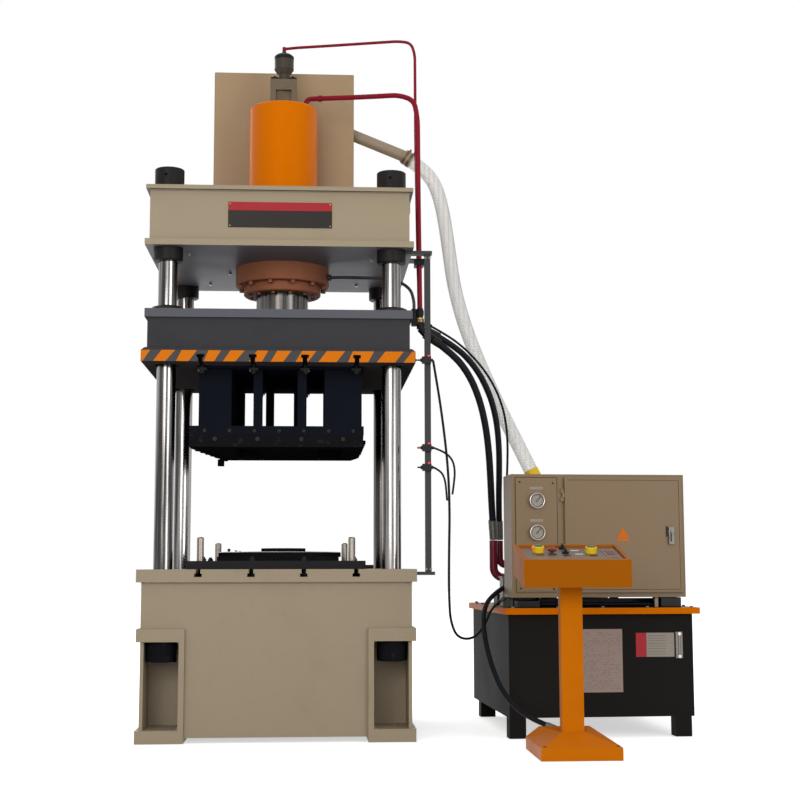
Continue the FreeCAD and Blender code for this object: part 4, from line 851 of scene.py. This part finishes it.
TRUNK_ROUTE = (
    (0.746, -0.513, 1.813), (0.763, -0.502, 1.717), (0.779, -0.494, 1.621), (0.793, -0.488, 1.524),
    (0.805, -0.484, 1.427), (0.815, -0.482, 1.330), (0.822, -0.480, 1.232), (0.825, -0.479, 1.135),
    (0.826, -0.477, 1.037), (0.824, -0.473, 0.939), (0.823, -0.467, 0.842), (0.823, -0.456, 0.744),
    (0.826, -0.440, 0.648), (0.833, -0.418, 0.553), (0.869, -0.386, 0.469), (0.952, -0.347, 0.461),
    (1.014, -0.313, 0.527), (1.049, -0.268, 0.606), (1.102, -0.199, 0.640),
)
LEAD_2_ROUTE = (
    (0.746, -0.512, 1.385), (0.799, -0.510, 1.367), (0.840, -0.508, 1.328), (0.851, -0.506, 1.273),
    (0.846, -0.504, 1.217), (0.838, -0.502, 1.160),
)
LEAD_3_ROUTE = (
    (0.746, -0.512, 1.290), (0.779, -0.512, 1.274), (0.798, -0.512, 1.242), (0.805, -0.512, 1.205),
    (0.808, -0.512, 1.168), (0.811, -0.512, 1.130),
)


def cord(name, route, diameter, finish, node):
    """A free hose or cable along the route that the CAD tube follows."""
    curve = bpy.data.curves.new(name, "CURVE")
    curve.dimensions = "3D"
    spline = curve.splines.new("NURBS")
    spline.points.add(len(route) - 1)
    for point, spot in zip(spline.points, route):
        point.co = (*spot, 1.0)
    spline.order_u = 3
    spline.use_endpoint_u = True
    curve.bevel_depth = diameter / 2
    curve.bevel_resolution = 5
    curve.resolution_u = 14
    curve.use_fill_caps = True
    thing = bpy.data.objects.new(name, curve)
    scene.collection.objects.link(thing)
    curve.materials.append(FINISH[finish])
    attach(thing, "frame")
    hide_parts(node)


def clear_hose_finish():
    """Whitish see-through plastic with crossed threads in its wall."""
    finish = surface("clear", tint(248, 246, 240), 0.20, grime_and_reflection=0.45, grime_and_reflection_size=12,
                     dirt_and_reflection=tint(208, 203, 190), coat=0.3)
    tree = finish.node_tree
    shader = tree.nodes["Principled BSDF"]
    shade = shader.inputs["Base Color"].links[0].from_socket
    place = tree.nodes.new("ShaderNodeTexCoord").outputs["Object"]
    # direction, scale and share of each set of threads
    for direction, scale, share in (
        ("Z", 34.0, 0.44), ("DIAGONAL", 46.0, 0.44), ("X", 12.0, 0.34),
    ):
        wave = add_node(tree, "ShaderNodeTexWave", Scale=scale, Distortion=1.2, Detail_Scale=6.0)
        wave.bands_direction = direction
        tree.links.new(place, wave.inputs["Vector"])
        thread = add_node(tree, "ShaderNodeMapRange", From_Min=0.55, To_Max=share)
        tree.links.new(wave.outputs["Fac"], thread.inputs["Value"])
        shade = overlay(tree, thread.outputs["Result"], shade, tint(112, 105, 94))
    tree.links.new(shade, shader.inputs["Base Color"])
    shader.inputs["Alpha"].default_value = 0.5
    # painted shade along the hose's two sides that face left and right, where its edges look
    # darker
    for side in (1, -1):
        tone_and_shade_part(finish, tint(92, 85, 76), ("normal", "X"), side * 0.70, side * 0.92)


clear_hose_finish()
# name, route, diameter, length, finish, node in the frame, stiffness
for name, route, diameter, length, finish, node, stiffness in (
    ("clear_hose_run", CLEAR_ROUTE, 0.076, 2.51, "clear", "clear_hose", "limp"),
    ("hose_1_run", HOSE_1_ROUTE, 0.036, 1.10, "rubber", "pressure_hose_1", "stiff"),
    ("hose_2_run", HOSE_2_ROUTE, 0.032, 1.19, "rubber", "pressure_hose_2", "stiff"),
    ("pilot_hose_run", PILOT_ROUTE, 0.012, 1.27, "rubber", "pilot_hose", "medium"),
    ("console_cable_run", CONSOLE_ROUTE, 0.024, 1.04, "rubber", "console_cable", "medium"),
    ("switch_trunk_run", TRUNK_ROUTE, 0.012, 1.73, "rubber", "switch_leads", "limp"),
    ("switch_lead_2_run", LEAD_2_ROUTE, 0.010, 0.28, "rubber", "switch_leads", "limp"),
    ("switch_lead_3_run", LEAD_3_ROUTE, 0.010, 0.185, "rubber", "switch_leads", "limp"),
):
    cord(name, route, diameter, finish, node)

# sleeves at both ends of the pressure hoses, and the band taped round the clear hose
smooth(rod_piece("hose_sleeves", "galvanised", "frame", [
    ((1.103, 0.031, 1.006), (1.0985, 0.0187, 1.053), 0.0225),
    ((1.144, 0.101, 1.006), (1.1426, 0.0943, 1.050), 0.0200),
    ((1.190, 0.150, 1.006), (1.1888, 0.1449, 1.036), 0.0095),
]))
smooth(rod_piece("hose_tape", "yellow", "frame", [
    ((1.3275, 0.1816, 1.325), (1.3435, 0.1758, 1.290), 0.0395),
], sides=32))
smooth(rod_piece("hose_upper_sleeves", "black_steel", "frame", [
    ((0.764, -0.252, 1.960), (0.803, -0.2435, 1.937), 0.0225),
    ((0.765, -0.200, 2.000), (0.805, -0.1853, 1.983), 0.0200),
]))

# ------------------------------------------------------------------ setting, lights and camera


def any_ray(tree, *kinds):
    """One where the ray is of any of these kinds."""
    rays = tree.nodes.new("ShaderNodeLightPath")
    found = rays.outputs[f"Is {kinds[0]} Ray"]
    for kind in kinds[1:]:
        either = tree.nodes.new("ShaderNodeMath")
        either.operation = "MAXIMUM"
        tree.links.new(found, either.inputs[0])
        tree.links.new(rays.outputs[f"Is {kind} Ray"], either.inputs[1])
        found = either.outputs["Value"]
    return found


def backdrop(tree, out, shown, lighting):
    """Give the eye, gloss and glass what is shown, and all other rays the lighting."""
    choice = tree.nodes.new("ShaderNodeMixShader")
    tree.links.new(any_ray(tree, "Camera", "Glossy", "Transmission"), choice.inputs["Fac"])
    tree.links.new(lighting, choice.inputs[1])
    tree.links.new(shown, choice.inputs[2])
    tree.links.new(choice.outputs["Shader"], out.inputs["Surface"])


def floor_finish():
    """White to the eye, with a soft contact shadow; a grey workshop floor to the machine."""
    finish = bpy.data.materials.new("floor")
    finish.use_nodes = True
    tree = finish.node_tree
    tree.nodes.clear()
    out = tree.nodes.new("ShaderNodeOutputMaterial")
    bright = add_node(tree, "ShaderNodeEmission", Color=(1, 1, 1, 1), Strength=0.58)
    lit = add_node(tree, "ShaderNodeBsdfDiffuse", Color=(0.8, 0.8, 0.8, 1))
    shown = tree.nodes.new("ShaderNodeAddShader")
    tree.links.new(bright.outputs["Emission"], shown.inputs[0])
    tree.links.new(lit.outputs["BSDF"], shown.inputs[1])
    grey = add_node(tree, "ShaderNodeBsdfDiffuse", Color=(0.52, 0.51, 0.50, 1))
    backdrop(tree, out, shown.outputs["Shader"], grey.outputs["BSDF"])
    return finish


ground_shape = bmesh.new()
bmesh.ops.create_grid(ground_shape, x_segments=1, y_segments=1, size=40)
ground_mesh = bpy.data.meshes.new("ground")
ground_shape.to_mesh(ground_mesh)
ground_shape.free()
ground = bpy.data.objects.new("ground", ground_mesh)
ground.location.z = -0.002
scene.collection.objects.link(ground)
ground_mesh.materials.append(floor_finish())

world = bpy.data.worlds.new("studio")
scene.world = world
world.use_nodes = True
tree = world.node_tree
tree.nodes.clear()
out = tree.nodes.new("ShaderNodeOutputWorld")
seen = add_node(tree, "ShaderNodeBackground", Color=(1, 1, 1, 1), Strength=1.0)
# soft daylight from above, with a darker horizon
place = tree.nodes.new("ShaderNodeTexCoord")
split = tree.nodes.new("ShaderNodeSeparateXYZ")
tree.links.new(place.outputs["Generated"], split.inputs["Vector"])
above = add_node(tree, "ShaderNodeMapRange", From_Min=-0.1, From_Max=0.8, To_Min=0.34,
                 To_Max=0.93)
tree.links.new(split.outputs["Z"], above.inputs["Value"])
hall = add_node(tree, "ShaderNodeBackground", Color=(0.97, 0.98, 1.0, 1))
tree.links.new(above.outputs["Result"], hall.inputs["Strength"])
backdrop(tree, out, seen.outputs["Background"], hall.outputs["Background"])


def area_light(name, spot, aim, width, height, power, colour=(1, 1, 1)):
    lamp = bpy.data.lights.new(name, "AREA")
    lamp.shape = "RECTANGLE"
    lamp.size = width
    lamp.size_y = height
    lamp.energy = power
    lamp.color = colour
    thing = bpy.data.objects.new(name, lamp)
    scene.collection.objects.link(thing)
    thing.location = spot
    thing.rotation_euler = (Vector(aim) - Vector(spot)).to_track_quat("-Z", "Y").to_euler()


area_light("key", (-2.0, -8.2, 3.0), (0.3, 0, 1.4), 4.0, 4.0, 245, (1.0, 0.98, 0.95))
area_light("fill", (5.0, -7.0, 2.4), (0.6, 0, 1.3), 3.0, 4.0, 170, (0.97, 0.98, 1.0))
area_light("rim", (-2.0, 5.5, 5.5), (0.3, 0, 1.8), 5.0, 3.0, 200)

CAMERA_SPOT = Vector((0.160, -7.318, 0.8147))
YAW = math.radians(3.568)
PITCH = math.radians(6.710)
ROLL = math.radians(-0.102)
# focal length and width of the picture in pixels, and width of the sensor in millimetres
FOCAL, PICTURE, SENSOR = 1415.3, 800, 36
ahead = Vector((math.sin(YAW) * math.cos(PITCH), math.cos(YAW) * math.cos(PITCH),
                math.sin(PITCH)))
level = Vector((math.cos(YAW), -math.sin(YAW), 0))
lift = level.cross(ahead)
right = level * math.cos(ROLL) + lift * math.sin(ROLL)
up = lift * math.cos(ROLL) - level * math.sin(ROLL)
camera_data = bpy.data.cameras.new("view")
camera_data.sensor_width = SENSOR
camera_data.lens = FOCAL / PICTURE * SENSOR
camera_data.clip_end = 100
camera = bpy.data.objects.new("view", camera_data)
scene.collection.objects.link(camera)
facing = Matrix((right, up, -ahead)).transposed().to_4x4()
camera.matrix_world = Matrix.Translation(CAMERA_SPOT) @ facing
scene.camera = camera
scene.view_settings.view_transform = "Standard"
